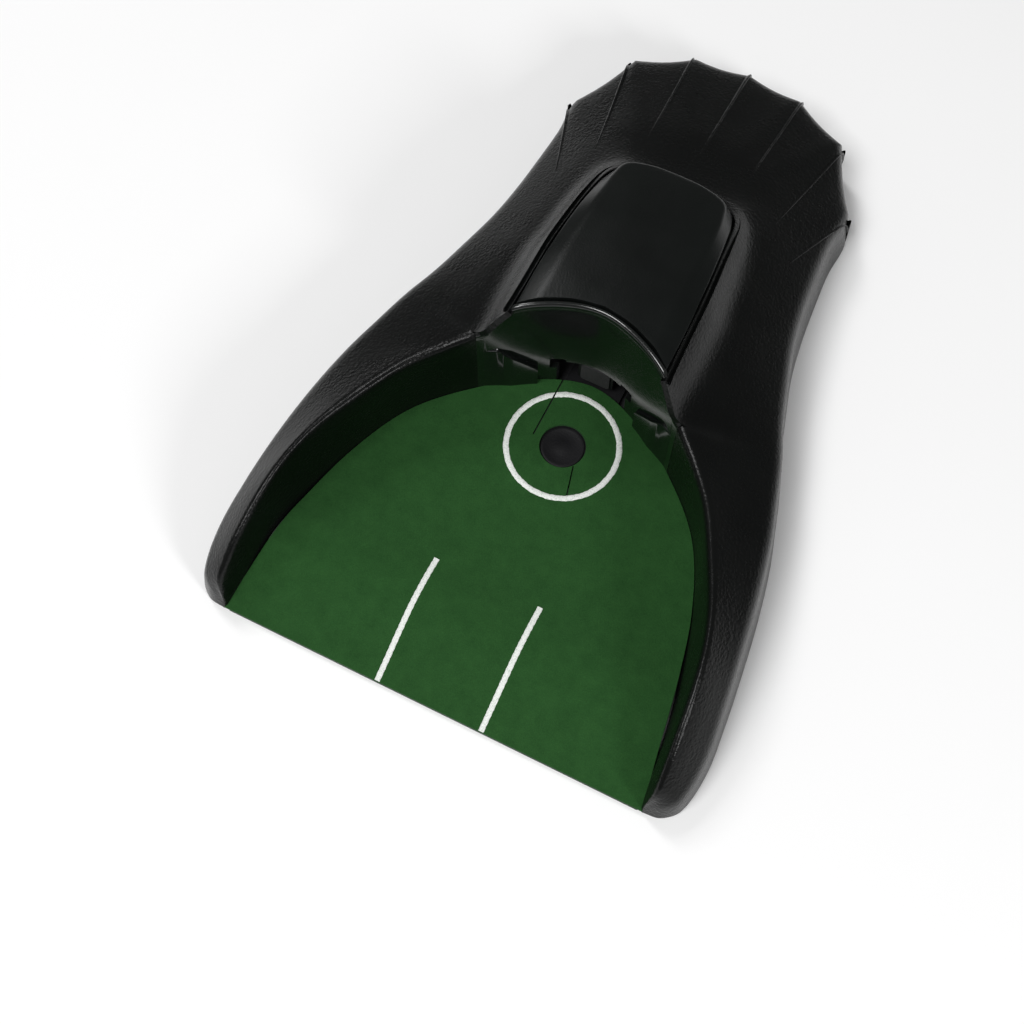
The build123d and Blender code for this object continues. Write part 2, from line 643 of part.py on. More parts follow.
def make_reduction_gear():
    meet = IDLER_ANGLE + pi
    small = gear(IDLER_TEETH, BIG_M, 4.2, 9.6, IDLER_Y, IDLER_Z, meet + pi / IDLER_TEETH)
    wheel = gear(WHEEL_TEETH, WHEEL_M, 9.5, 12.5, IDLER_Y, IDLER_Z, PINION_ANGLE)
    hub = across(IDLER_Y, IDLER_Z, 4.2, 13.7, 2.2) + across(IDLER_Y, IDLER_Z, -7.7, 4.3, 1.8)
    return small + wheel + hub - across(IDLER_Y, IDLER_Z, -20, 20, 1.2 + RUN)


def make_motor_pinion():
    meet = PINION_ANGLE + pi
    pinion = gear(PINION_TEETH, WHEEL_M, 9.4, 13.2, MOTOR_Y, MOTOR_Z, meet + pi / PINION_TEETH)
    return pinion - across(MOTOR_Y, MOTOR_Z, 0, 20, 1.0)


def make_motor_shaft():
    return across(MOTOR_Y, MOTOR_Z, 9.2, 41.0, 1.0)


MOTOR_X = (PLATE_R + PLATE_T, 36.0)
MOTOR_R = 10.0


def make_motor_can():
    x0, x1 = MOTOR_X
    can = across(MOTOR_Y, MOTOR_Z, x0 + 0.1, x1, MOTOR_R)
    can &= block(0, 60, MOTOR_Y - 20, MOTOR_Y + 20, MOTOR_Z - 7.6, MOTOR_Z + 7.6)
    can -= across(MOTOR_Y, MOTOR_Z, x0 + 1.2, x1 + 1, MOTOR_R - 1.2) & block(
        0, 60, MOTOR_Y - 20, MOTOR_Y + 20, MOTOR_Z - 6.6, MOTOR_Z + 6.6)
    return can - across(MOTOR_Y, MOTOR_Z, 0, 60, 1.0 + RUN)


def make_motor_end_cap():
    x1 = MOTOR_X[1]
    cap = across(MOTOR_Y, MOTOR_Z, x1 + 0.05, x1 + 2.4, MOTOR_R - 0.2)
    cap &= block(0, 60, MOTOR_Y - 20, MOTOR_Y + 20, MOTOR_Z - 7.4, MOTOR_Z + 7.4)
    tabs = []
    for y in (MOTOR_Y - 6, MOTOR_Y + 6):
        tabs.append(block(x1 + 2.0, x1 + 5.0, y - 1.2, y + 1.2, MOTOR_Z - 0.3, MOTOR_Z + 0.3))
    return cap + tabs - across(MOTOR_Y, MOTOR_Z, 0, 60, 1.0 + RUN)


PLATE_SHAPE = [(11.5, 3.1), (70, 3.1), (70, 24), (62, 36), (54.5, 37), (54.5, 44), (44, 56), (11.5, 56)]
SPACERS = [(15.5, 50.5), (66.0, 22.5), (44.0, 8.0)]
AXLES = [(COCK_Y, COCK_Z, 1.5), (IDLER_Y, IDLER_Z, 1.2)]


def make_gearbox_plate(x0, outward):
    face = Face(Wire.make_polygon([(x0, y, z) for y, z in PLATE_SHAPE]))
    plate = Solid.extrude(face, Vector(PLATE_T, 0, 0))
    for y, z, r in AXLES:
        plate -= across(y, z, x0 - 1, x0 + 3, r)
    for y, z in SPACERS:
        plate -= across(y, z, x0 - 1, x0 + 3, 1.3)
    for x, y in GEARBOX_FEET:
        if x * outward > 0:
            near = x0 if outward < 0 else x0 + PLATE_T
            low, high = sorted((near, x + outward * 3.5))
            plate += block(low, high, y - 4, y + 4, 3.1, 4.9) - upright(x, y, 0, 10, 1.4)
    if outward > 0:
        plate -= across(MOTOR_Y, MOTOR_Z, x0 - 1, x0 + 3, 3.4)
    return plate


def make_gearbox_spacers():
    """Tubes between the plates, each with a pin through both plates."""
    posts = [across(y, z, PLATE_L + 0.02, PLATE_R - 0.02, 2.4) for y, z in SPACERS]
    pins = [across(y, z, PLATE_L - 2.1, PLATE_R + 2.1, 1.3) for y, z in SPACERS]
    return [post + pin for post, pin in zip(posts, pins)]


def make_axle(y, z, r):
    return across(y, z, PLATE_L - PLATE_T - 0.6, PLATE_R + PLATE_T + 0.6, r)


def make_gearbox_screws():
    screws = []
    for x, y in GEARBOX_FEET:
        head = upright(x, y, 4.92, 6.5, 2.6)
        head -= block(x - 2, x + 2, y - 0.35, y + 0.35, 6.0, 8)
        screws.append(head + upright(x, y, 1.4, 5.2, 1.2))
    return screws


RACK_END_Y = 57.0
RACK_NOSE_Y = 20.0           # ahead of this the rack is low enough to pass the window


def make_striker_carriage():
    root_z = RACK_PITCH_Z - 1.2 * STROKE_M
    bar = block(-3.9, 3.9, RACK_NOSE_Y, RACK_END_Y, 12.8, root_z)
    bar += block(-3.9, 3.9, -2.0, RACK_NOSE_Y, 12.8, WINDOW_TOP - 1.2)
    pitch = pi * STROKE_M
    top_z = RACK_PITCH_Z + 0.95 * STROKE_M
    half = pitch / 4 - BACKLASH * STROKE_M / 2
    slope = tan(PRESSURE)
    for k in range(-2, 5):
        y = COCK_Y + (k + 0.5) * pitch
        low = half + slope * (RACK_PITCH_Z - root_z + 0.1)
        high = half - slope * (top_z - RACK_PITCH_Z)
        tooth = [(y - low, root_z - 0.1), (y + low, root_z - 0.1), (y + high, top_z), (y - high, top_z)]
        face = Face(Wire.make_polygon([(-3.3, a, b) for a, b in tooth]))
        bar += Solid.extrude(face, Vector(6.6, 0, 0))
    return bar


def make_striker_paddle():
    face = block(-7, 7, -4.7, -2.05, 10.0, 23.0)
    face = fillet(face.edges().filter_by(Axis.Y), 1.6)
    return face


def make_striker_pad():
    pad = block(-5.8, 5.8, -5.5, -4.72, 11.0, 22.0)
    return fillet(pad.edges().filter_by(Axis.Y), 1.4)


def make_striker_guide():
    guide = block(-5.6, 5.6, -1.0, 62, 11.1, 17.0) - block(-4.1, 4.1, -2, 63, 12.6, 20)
    for y in (30, 58):
        guide += block(-5.6, 5.6, y - 2, y + 2, BASE_TOP + 0.05, 11.5)
    return guide


def make_striker_spring():
    """Torsion spring round the hub of the cocking gear."""
    return Pos(-7.1, COCK_Y, COCK_Z) * Rot(0, 90, 0) * coil(4.3, 0.8, 3.0, 3)


# ---------------------------------------------------------------- electrics
def make_control_board():
    x0, x1, y0, y1, z0 = BOARD
    board = block(x0, x1, y0, y1, z0 + 0.02, z0 + 1.6)
    for x, y in BOARD_POSTS:
        board -= upright(x, y, 0, 20, 1.2)
    return board


def make_board_components():
    z = BOARD[4] + 1.62
    parts = [block(-34, -28, 14, 24, z, z + 2.2), block(-38, -33, 30, 38, z, z + 5.5)]
    parts.append(upright(-24.5, 14, z, z + 9, 3.1))
    parts.append(upright(-24.5, 24, z, z + 6, 2.2))
    parts += [block(-31 + 2.6 * i, -29.6 + 2.6 * i, 30, 33, z, z + 0.9) for i in range(3)]
    return parts


def make_board_screws():
    z = BOARD[4] + 1.62
    screws = []
    for x, y in BOARD_POSTS:
        screws.append(upright(x, y, z, z + 1.5, 2.2) + upright(x, y, z - 4.5, z + 0.5, 0.95))
    return screws


def make_wiring():
    """Leads from the board to the motor, the battery tray and the power switch."""
    runs = [
        [(-28, 40.6, 11.8), (-28, 47, 24), (-26, 71, 26), (22, 72, 30), (43, 66, 24), (43.5, 60.5, 15.5)],
        [(-32, 40.6, 11.8), (-32, 48, 22), (-28, 66, 22.5), (-25, 78, 21.0)],
        [(-38.5, 40.6, 11.8), (-38.5, 50, 16), (-45, 52, 14), (-45, 43, 10.2)],
    ]
    leads = []
    for run in runs:
        path = FilletPolyline(*run, radius=3)
        leads.append(sweep(Plane(path @ 0, z_dir=path % 0) * Circle(0.75), path=path))
    return leads


def make_power_switch_body():
    body = block(-52, -38, SWITCH_Y - 4, SWITCH_Y + 4, BASE_TOP + 0.05, 9.0)
    return body - block(-50.2, -39.8, SWITCH_Y - 1.8, SWITCH_Y + 1.8, 0, 6.0)


def make_power_switch_knob():
    knob = block(-49.8, -45.0, SWITCH_Y - 1.4, SWITCH_Y + 1.4, 0.5, 5.6)
    for x in (-48.6, -47.4, -46.2):
        knob -= block(x - 0.3, x + 0.3, SWITCH_Y - 2, SWITCH_Y + 2, 0, 0.9)
    return knob


# ---------------------------------------------------------------- write every node
NODES = {
    "top_shell": make_top_shell,
    "hood_cover": make_hood_cover,
    "cup_liner": make_cup_liner,
    "ramp_deck": make_ramp_deck,
    "felt_mat": make_felt_mat,
    "ring_marking": make_ring_marking,
    "line_markings": make_line_markings,
    "base_plate": make_base_plate,
    "rubber_feet": make_rubber_feet,
    "case_screws": make_case_screws,
    "hood_screws": make_hood_screws,
    "battery_door": make_battery_door,
    "battery_tray": make_battery_tray,
    "battery_cells": make_battery_cells,
    "battery_contacts": make_battery_contacts,
    "battery_springs": make_battery_springs,
    "trigger_lever": make_trigger_lever,
    "trigger_button": make_trigger_button,
    "trigger_pin": make_trigger_pin,
    "trigger_spring": make_trigger_spring,
    "micro_switch_body": make_micro_switch_body,
    "micro_switch_plunger": make_micro_switch_plunger,
    "striker_carriage": make_striker_carriage,
    "striker_paddle": make_striker_paddle,
    "striker_pad": make_striker_pad,
    "striker_guide": make_striker_guide,
    "striker_spring": make_striker_spring,
    "cocking_gear": make_cocking_gear,
    "cocking_axle": lambda: make_axle(*AXLES[0]),
    "reduction_gear": make_reduction_gear,
    "reduction_axle": lambda: make_axle(*AXLES[1]),
    "motor_pinion": make_motor_pinion,
    "motor_shaft": make_motor_shaft,
    "motor_can": make_motor_can,
    "motor_end_cap": make_motor_end_cap,
    "gearbox_plate_left": lambda: make_gearbox_plate(PLATE_L - PLATE_T, -1),
    "gearbox_plate_right": lambda: make_gearbox_plate(PLATE_R, 1),
    "gearbox_spacers": make_gearbox_spacers,
    "gearbox_screws": make_gearbox_screws,
    "control_board": make_control_board,
    "board_components": make_board_components,
    "board_screws": make_board_screws,
    "wiring": make_wiring,
    "power_switch_body": make_power_switch_body,
    "power_switch_knob": make_power_switch_knob,
}

os.makedirs("parts", exist_ok=True)
for name, make in NODES.items():
    shape = make()
    if isinstance(shape, (list, ShapeList)):
        shape = Compound(children=list(shape))
    export_step(shape, f"parts/{name}.step")
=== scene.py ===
import json
from math import atan2, cos, hypot, pi, radians, sin

import bmesh
import bpy
from mathutils import Matrix, Vector
from mathutils.bvhtree import BVHTree


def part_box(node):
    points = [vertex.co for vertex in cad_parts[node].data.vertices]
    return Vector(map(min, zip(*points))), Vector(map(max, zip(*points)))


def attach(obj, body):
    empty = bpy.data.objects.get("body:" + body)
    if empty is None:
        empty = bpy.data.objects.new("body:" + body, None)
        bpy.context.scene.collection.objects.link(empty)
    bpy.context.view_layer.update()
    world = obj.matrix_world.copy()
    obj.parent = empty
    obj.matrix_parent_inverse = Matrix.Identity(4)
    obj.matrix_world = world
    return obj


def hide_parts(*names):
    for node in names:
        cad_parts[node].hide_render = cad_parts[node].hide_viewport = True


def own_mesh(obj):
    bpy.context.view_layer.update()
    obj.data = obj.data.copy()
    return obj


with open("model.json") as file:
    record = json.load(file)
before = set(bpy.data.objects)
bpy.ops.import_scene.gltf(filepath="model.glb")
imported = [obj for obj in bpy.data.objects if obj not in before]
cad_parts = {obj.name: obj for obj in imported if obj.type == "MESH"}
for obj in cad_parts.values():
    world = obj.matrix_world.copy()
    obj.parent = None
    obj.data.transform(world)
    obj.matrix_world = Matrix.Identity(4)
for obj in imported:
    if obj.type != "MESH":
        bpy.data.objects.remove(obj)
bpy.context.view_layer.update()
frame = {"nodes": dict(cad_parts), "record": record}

MM = 0.001
scene = bpy.context.scene

# Places read from the frame, in millimetres.
disc_low, disc_high = (tuple(v / MM for v in corner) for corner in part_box("trigger_button"))
CUP_Y = (disc_low[1] + disc_high[1]) / 2
DISC_R = (disc_high[0] - disc_low[0]) / 2
HOLE_R = DISC_R + 0.5
RING_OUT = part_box("ring_marking")[1][0] / MM
RING_IN = RING_OUT - 2.2
LINE_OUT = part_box("line_markings")[1][0] / MM
LINE_W = 2.1
LINE_END_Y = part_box("line_markings")[1][1] / MM
FRONT_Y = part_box("ramp_deck")[0][1] / MM
DRAFT = 0.105                # lean of the outer wall for each mm of height
WALL = 2.2                   # wall thickness of the body moulding
HOOD_WALL = 2.0
LINER = 2.2                  # thickness of the cup wall
FELT = 1.3                   # thickness of the felt
FELT_MARGIN = 0.15           # the felt stops this far short of the mouth walls
PRINT_START = 0.3            # the aiming lines start this far behind the front edge
FELT_LOW, FELT_HIGH = -5, 30    # span of a block that cuts right through the felt

# Stations round the body: wall foot (x, y), shoulder height, crest (x, y, z).
STATIONS = [
    ((82.9, -141.0), 5.5, (84.0, -139.2, 9.5)),
    ((89.5, -140.0), 9.5, (85.5, -136.5, 18.0)),
    ((95.0, -134.5), 12.0, (84.8, -132.0, 23.0)),
    ((97.6, -119.0), 17.0, (84.0, -122.0, 30.5)),
    ((96.6, -101.0), 23.5, (81.6, -101.5, 39.2)),
    ((94.6, -82.0), 28.3, (76.9, -82.5, 42.5)),
    ((91.8, -61.0), 30.0, (69.0, -63.5, 44.0)),
    ((88.0, -41.0), 30.0, (57.6, -45.0, 45.0)),
    ((83.7, -25.5), 30.0, (46.8, -33.5, 47.0)),
    ((79.0, -10.0), 30.0, (38.2, -24.6, 50.2)),
    ((73.7, 4.0), 30.0, (38.8, -6.0, 50.0)),
    ((69.0, 19.5), 30.0, (38.2, 12.0, 49.4)),
    ((65.0, 34.0), 30.0, (36.6, 24.0, 48.6)),
    ((62.6, 49.0), 29.0, (35.0, 38.0, 47.6)),
    ((61.2, 64.0), 27.5, (33.0, 50.0, 46.8)),
    ((60.2, 82.0), 24.5, (30.0, 60.0, 46.0)),
    ((60.5, 100.0), 21.0, (24.5, 67.0, 45.5)),
    ((46.5, 127.0), 23.5, (15.0, 69.8, 45.2)),
    ((23.3, 138.2), 25.0, (7.0, 70.3, 45.0)),
    ((0.0, 140.3), 25.5, (0.0, 70.5, 45.0)),
]
FIRST_HOOD, FIRST_TIP = 9, 16    # station where the cup wall starts, first rib tip
# Foot of the mouth wall in plan, from the right nose to the middle of the cup.
MOUTH = [
    (83.0, -141.0), (79.8, -124.0), (74.9, -94.5), (69.0, -69.5), (58.4, -45.5), (42.0, -27.5),
    (20.5, -12.0), (0.0, -5.5),
]
# Edge of the recess for the hood, one point for each station from FIRST_HOOD on.
RECESS = [
    (29.4, -17.9, 65.4), (28.9, -6.0, 65.3), (28.6, 12.0, 64.8), (28.1, 22.0, 63.6), (27.1, 35.0, 61.2),
    (26.0, 47.0, 57.4), (24.6, 56.0, 52.8), (21.3, 61.0, 49.4), (12.5, 62.9, 48.2), (6.0, 63.2, 48.0),
    (0.0, 63.3, 48.0),
]
# Where each rib of the fan starts, from the side to the middle.
RIB_STARTS = [(46.5, 57.0), (36.5, 70.0), (20.5, 82.0), (0.0, 84.0)]
# Felt surface along the middle: place along the ramp and height.
RAMP = [
    (-141.0, 2.2), (-131.5, 6.0), (-121.5, 10.3), (-112.5, 13.3), (-102.5, 13.8), (-92.5, 12.3),
    (-77.5, 10.5), (-57.5, 9.1), (-32.5, 8.5), (-4.0, 8.4),
]


# ---------------------------------------------------------------- curves
def clamp(t):
    return min(max(t, 0.0), 1.0)


def smooth(t):
    t = clamp(t)
    return t * t * (3 - 2 * t)


def add(a, b, k=1.0):
    return tuple(p + k * q for p, q in zip(a, b))


def mix(a, b, t):
    return tuple(p + (q - p) * t for p, q in zip(a, b))


def rail(points, keys, t):
    """Smooth curve through points with rising keys, read at a key."""
    i = 0
    while i < len(keys) - 2 and t > keys[i + 1]:
        i += 1
    k0, k1 = keys[i], keys[i + 1]
    s = (t - k0) / (k1 - k0)

    def slope(j):
        lo, hi = max(j - 1, 0), min(j + 1, len(keys) - 1)
        return tuple((q - p) / (keys[hi] - keys[lo]) for p, q in zip(points[lo], points[hi]))

    m0, m1 = slope(i), slope(i + 1)
    h = k1 - k0
    a, b = 2 * s**3 - 3 * s**2 + 1, s**3 - 2 * s**2 + s
    c, d = -2 * s**3 + 3 * s**2, s**3 - s**2
    return tuple(
        a * p + b * h * u + c * q + d * h * v for p, u, q, v in zip(points[i], m0, points[i + 1], m1)
    )


def chord_keys(points):
    keys = [0.0]
    for p, q in zip(points, points[1:]):
        keys.append(keys[-1] + sum((u - v) ** 2 for u, v in zip(p, q)) ** 0.5)
    return keys


RAMP_KEYS = [y for y, _ in RAMP]


def ramp(y):
    """Height of the felt surface along the ramp."""
    if y <= RAMP_KEYS[0]:
        return RAMP[0][1]
    if y >= RAMP_KEYS[-1]:
        return RAMP[-1][1]
    return rail([(z,) for _, z in RAMP], RAMP_KEYS, y)[0]


def mouth_lean(y, z):
    """How far the mouth wall leans out at a height."""
    return 4.8 * smooth((-52 - y) / 42) * (z - 8) / 36


MOUTH_ALL = MOUTH + [(-x, y) for x, y in reversed(MOUTH[:-1])]
MOUTH_KEYS = chord_keys(MOUTH_ALL)


def mouth_at(share):
    """Point of the mouth outline, from the right nose (0) round the back to the left (1)."""
    return rail(MOUTH_ALL, MOUTH_KEYS, share * MOUTH_KEYS[-1])


def mouth_normal(share):
    a, b = mouth_at(max(share - 0.002, 0.0)), mouth_at(min(share + 0.002, 1.0))
    ux, uy = b[0] - a[0], b[1] - a[1]
    size = hypot(ux, uy)
    return (uy / size, -ux / size)


def mouth_share_at_x(x):
    """Share of the mouth outline where it passes a place behind the cup."""
    low, high = 0.2, 0.8
    for _ in range(40):
        middle = (low + high) / 2
        if mouth_at(middle)[0] > x:
            low = middle
        else:
            high = middle
    return (low + high) / 2


def rounded(points, cuts, steps=5):
    """Polyline whose inner corners are rounded off, each by its own distance."""
    out = [points[0]]
    for i in range(1, len(points) - 1):
        p, c, q = points[i - 1], points[i], points[i + 1]
        dp, dq = (sum((u - v) ** 2 for u, v in zip(c, o)) ** 0.5 for o in (p, q))
        cut = cuts[i - 1]
        a, b = mix(c, p, min(cut / dp, 0.48)), mix(c, q, min(cut / dq, 0.48))
        for k in range(steps + 1):
            t = k / steps
            out.append(mix(mix(a, c, t), mix(c, b, t), t))
    out.append(points[-1])
    return out


def subdivided(points, counts):
    """Polyline whose spans are cut into equal parts, with one count for each span."""
    out = [points[0]]
    for p, q, n in zip(points, points[1:], counts):
        out += [mix(p, q, k / n) for k in range(1, n + 1)]
    return out


# ---------------------------------------------------------------- mesh helpers
def new_object(name, verts, faces, crease=35):
    mesh = bpy.data.meshes.new(name)
    mesh.from_pydata([tuple(c * MM for c in v) for v in verts], [], faces)
    mesh.validate()
    bm = bmesh.new()
    bm.from_mesh(mesh)
    bmesh.ops.remove_doubles(bm, verts=bm.verts, dist=1e-6)
    bmesh.ops.dissolve_degenerate(bm, edges=bm.edges, dist=1e-7)
    bmesh.ops.recalc_face_normals(bm, faces=bm.faces)
    bm.to_mesh(mesh)
    bm.free()
    obj = bpy.data.objects.new(name, mesh)
    scene.collection.objects.link(obj)
    shade(obj, crease)
    return obj


def shade(obj, crease):
    mesh = obj.data
    mesh.polygons.foreach_set("use_smooth", [True] * len(mesh.polygons))
    mesh.set_sharp_from_angle(angle=radians(crease))
    mesh.update()


def grid(rows, closed=False):
    """Vertices and faces of a grid of points given row by row."""
    wide = len(rows[0])
    verts = [p for row in rows for p in row]
    faces = []
    for j in range(len(rows) - 1):
        for i in range(wide if closed else wide - 1):
            k = (i + 1) % wide
            faces.append((j * wide + i, j * wide + k, (j + 1) * wide + k, (j + 1) * wide + i))
    return verts, faces


def both_sides(rows):
    """A grid and its mirror image in X = 0."""
    return with_mirror(*grid(rows))


def with_mirror(verts, faces):
    """Vertices and faces together with their mirror image in X = 0."""
    n = len(verts)
    mirrored = [tuple(n + i for i in reversed(face)) for face in faces]
    return verts + [(-x, y, z) for x, y, z in verts], faces + mirrored


def capped(verts, faces, wide):
    """Closes the first and the last row of a closed grid."""
    ends = [tuple(range(wide)), tuple(reversed(range(len(verts) - wide, len(verts))))]
    return verts, faces + ends


def join_parts(parts):
    verts, faces = [], []
    for v, f in parts:
        base = len(verts)
        verts += v
        faces += [tuple(base + i for i in face) for face in f]
    return verts, faces


def apply_modifiers(obj, crease=35):
    """Keeps the result of an object's modifiers as its own mesh."""
    graph = bpy.context.evaluated_depsgraph_get()
    mesh = bpy.data.meshes.new_from_object(obj.evaluated_get(graph))
    obj.modifiers.clear()
    old = obj.data
    obj.data = mesh
    bpy.data.meshes.remove(old)
    shade(obj, crease)
    return obj


def solid_skin(obj, thickness, crease=35, share_at=None):
    """Gives a skin its wall thickness inwards; share_at(point) thins it where it must taper."""
    mod = obj.modifiers.new("wall", "SOLIDIFY")
    mod.thickness = thickness * MM
    mod.offset = -1
    mod.use_even_offset = False
    if share_at:
        group = obj.vertex_groups.new(name="wall")
        for vertex in obj.data.vertices:
            group.add([vertex.index], share_at(vertex.co), "REPLACE")
        mod.vertex_group = group.name
    return apply_modifiers(obj, crease)


def cut(obj, *cutters, operation="DIFFERENCE", crease=35):
    for cutter in cutters:
        mod = obj.modifiers.new("cut", "BOOLEAN")
        mod.operation = operation
        mod.object = cutter
        mod.solver = "EXACT"
    apply_modifiers(obj, crease)
    for cutter in cutters:
        bpy.data.objects.remove(cutter, do_unlink=True)
    return obj


def prism(name, outline, z0, z1):
    """Closed block with a plan outline."""
    n = len(outline)
    verts = [(x, y, z0) for x, y in outline] + [(x, y, z1) for x, y in outline]
    faces = [tuple(reversed(range(n))), tuple(range(n, 2 * n))]
    faces += [(i, (i + 1) % n, n + (i + 1) % n, n + i) for i in range(n)]
    return new_object(name, verts, faces)


def circle(x, y, r, steps=96):
    return [(x + r * cos(2 * pi * k / steps), y + r * sin(2 * pi * k / steps)) for k in range(steps)]


# ---------------------------------------------------------------- materials
def material(name):
    mat = bpy.data.materials.new(name)
    mat.use_nodes = True
    nodes, links = mat.node_tree.nodes, mat.node_tree.links
    shader = nodes["Principled BSDF"]
    coords = nodes.new("ShaderNodeTexCoord")
    return mat, nodes, links, shader, coords.outputs["Object"]


def noise(nodes, links, vector, scale, detail=3.0, rough=0.5):
    node = nodes.new("ShaderNodeTexNoise")
    node.inputs["Scale"].default_value = scale
    node.inputs["Detail"].default_value = detail
    node.inputs["Roughness"].default_value = rough
    links.new(vector, node.inputs["Vector"])
    return node.outputs["Fac"]


def ramp_node(nodes, links, value, stops):
    node = nodes.new("ShaderNodeValToRGB")
    links.new(value, node.inputs["Fac"])
    elements = node.color_ramp.elements
    elements[0].position, elements[0].color = stops[0]
    elements[1].position, elements[1].color = stops[-1]
    for position, colour in stops[1:-1]:
        element = elements.new(position)
        element.color = colour
    return node.outputs["Color"]


def grey(v):
    return (v, v, v, 1.0)


def math_node(nodes, links, operation, a, b):
    node = nodes.new("ShaderNodeMath")
    node.operation = operation
    for socket, value in zip(node.inputs, (a, b)):
        if isinstance(value, (int, float)):
            socket.default_value = value
        else:
            links.new(value, socket)
    return node.outputs["Value"]


def bump(nodes, links, height, distance, strength=1.0, under=None):
    node = nodes.new("ShaderNodeBump")
    node.inputs["Distance"].default_value = distance
    node.inputs["Strength"].default_value = strength
    links.new(height, node.inputs["Height"])
    if under is not None:
        links.new(under, node.inputs["Normal"])
    return node.outputs["Normal"]


def cells(nodes, links, vector, scale):
    node = nodes.new("ShaderNodeTexVoronoi")
    node.feature = "SMOOTH_F1"
    node.inputs["Scale"].default_value = scale
    links.new(vector, node.inputs["Vector"])
    return node.outputs["Distance"]


def plastic(name, colour, rough, grain_scale, grain_depth, specular=0.5, coat=0.0, wear=0.06):
    """Moulded plastic: colour drift, leather grain, uneven gloss and paler worn edges."""
    mat, nodes, links, shader, at = material(name)
    drift = noise(nodes, links, at, 28.0, 4.0)
    geometry = nodes.new("ShaderNodeNewGeometry")
    edge = ramp_node(nodes, links, geometry.outputs["Pointiness"], [(0.5, grey(0.0)), (0.62, grey(1.0))])
    low = tuple(c * 0.8 for c in colour) + (1.0,)
    high = tuple(c * 1.25 for c in colour) + (1.0,)
    base = ramp_node(nodes, links, drift, [(0.35, low), (0.65, high)])
    worn = nodes.new("ShaderNodeMix")
    worn.data_type = "RGBA"
    amount = math_node(nodes, links, "MULTIPLY", edge, wear)
    links.new(amount, worn.inputs["Factor"])
    links.new(base, worn.inputs["A"])
    worn.inputs["B"].default_value = tuple(min(c + 0.16, 1.0) for c in colour) + (1.0,)
    links.new(worn.outputs["Result"], shader.inputs["Base Color"])
    smudge = noise(nodes, links, at, 60.0, 5.0, 0.6)
    gloss = ramp_node(nodes, links, smudge, [(0.3, grey(rough * 0.88)), (0.7, grey(min(rough * 1.14, 1.0)))])
    links.new(gloss, shader.inputs["Roughness"])
    shader.inputs["Specular IOR Level"].default_value = specular
    shader.inputs["Coat Weight"].default_value = coat
    shader.inputs["Coat Roughness"].default_value = 0.08
    peel = noise(nodes, links, at, grain_scale * 2.2, 2.0)
    grain = cells(nodes, links, at, grain_scale)
    height = math_node(nodes, links, "ADD", grain, math_node(nodes, links, "MULTIPLY", peel, 0.5))
    links.new(bump(nodes, links, height, grain_depth), shader.inputs["Normal"])
    return mat


def felt(name, deep, pale):
    """Short felt: mottled green with fine fibres and a soft sheen."""
    mat, nodes, links, shader, at = material(name)
    mottle = noise(nodes, links, at, 160.0, 6.0, 0.7)
    fibre = noise(nodes, links, at, 2600.0, 4.0, 0.75)
    both = math_node(nodes, links, "ADD", math_node(nodes, links, "MULTIPLY", mottle, 0.35),
                     math_node(nodes, links, "MULTIPLY", fibre, 0.65))
    colour = ramp_node(nodes, links, both, [(0.34, (*deep, 1.0)), (0.66, (*pale, 1.0))])
    links.new(colour, shader.inputs["Base Color"])
    shader.inputs["Roughness"].default_value = 0.95
    shader.inputs["Specular IOR Level"].default_value = 0.15
    shader.inputs["Sheen Weight"].default_value = 0.06
    shader.inputs["Sheen Roughness"].default_value = 0.5
    shader.inputs["Sheen Tint"].default_value = (0.45, 0.8, 0.5, 1.0)
    tufts = noise(nodes, links, at, 1500.0, 5.0, 0.8)
    waves = noise(nodes, links, at, 45.0, 2.0)
    under = bump(nodes, links, waves, 0.0006, 0.35)
    links.new(bump(nodes, links, tufts, 0.00045, 0.9, under), shader.inputs["Normal"])
    return mat


def flock(name):
    """White flocked print with the felt showing through at its fibres."""
    mat, nodes, links, shader, at = material(name)
    speck = noise(nodes, links, at, 1700.0, 5.0, 0.7)
    colour = ramp_node(nodes, links, speck, [
        (0.30, (0.36, 0.50, 0.38, 1.0)), (0.44, (0.74, 0.77, 0.73, 1.0)), (0.62, (0.90, 0.91, 0.89, 1.0))])
    links.new(colour, shader.inputs["Base Color"])
    shader.inputs["Roughness"].default_value = 0.9
    shader.inputs["Specular IOR Level"].default_value = 0.2
    shader.inputs["Sheen Weight"].default_value = 0.2
    links.new(bump(nodes, links, speck, 0.0003, 0.8), shader.inputs["Normal"])
    return mat


def metal(name, colour, rough):
    """Plated or turned metal with fine brushing."""
    mat, nodes, links, shader, at = material(name)
    brush = noise(nodes, links, at, 700.0, 4.0)
    tone = ramp_node(nodes, links, brush, [
        (0.3, tuple(c * 0.8 for c in colour) + (1.0,)), (0.7, (*colour, 1.0))])
    links.new(tone, shader.inputs["Base Color"])
    shader.inputs["Metallic"].default_value = 1.0
    gloss = ramp_node(nodes, links, brush, [(0.3, grey(rough * 0.8)), (0.7, grey(rough * 1.2))])
    links.new(gloss, shader.inputs["Roughness"])
    links.new(bump(nodes, links, brush, 0.00005, 0.5), shader.inputs["Normal"])
    return mat


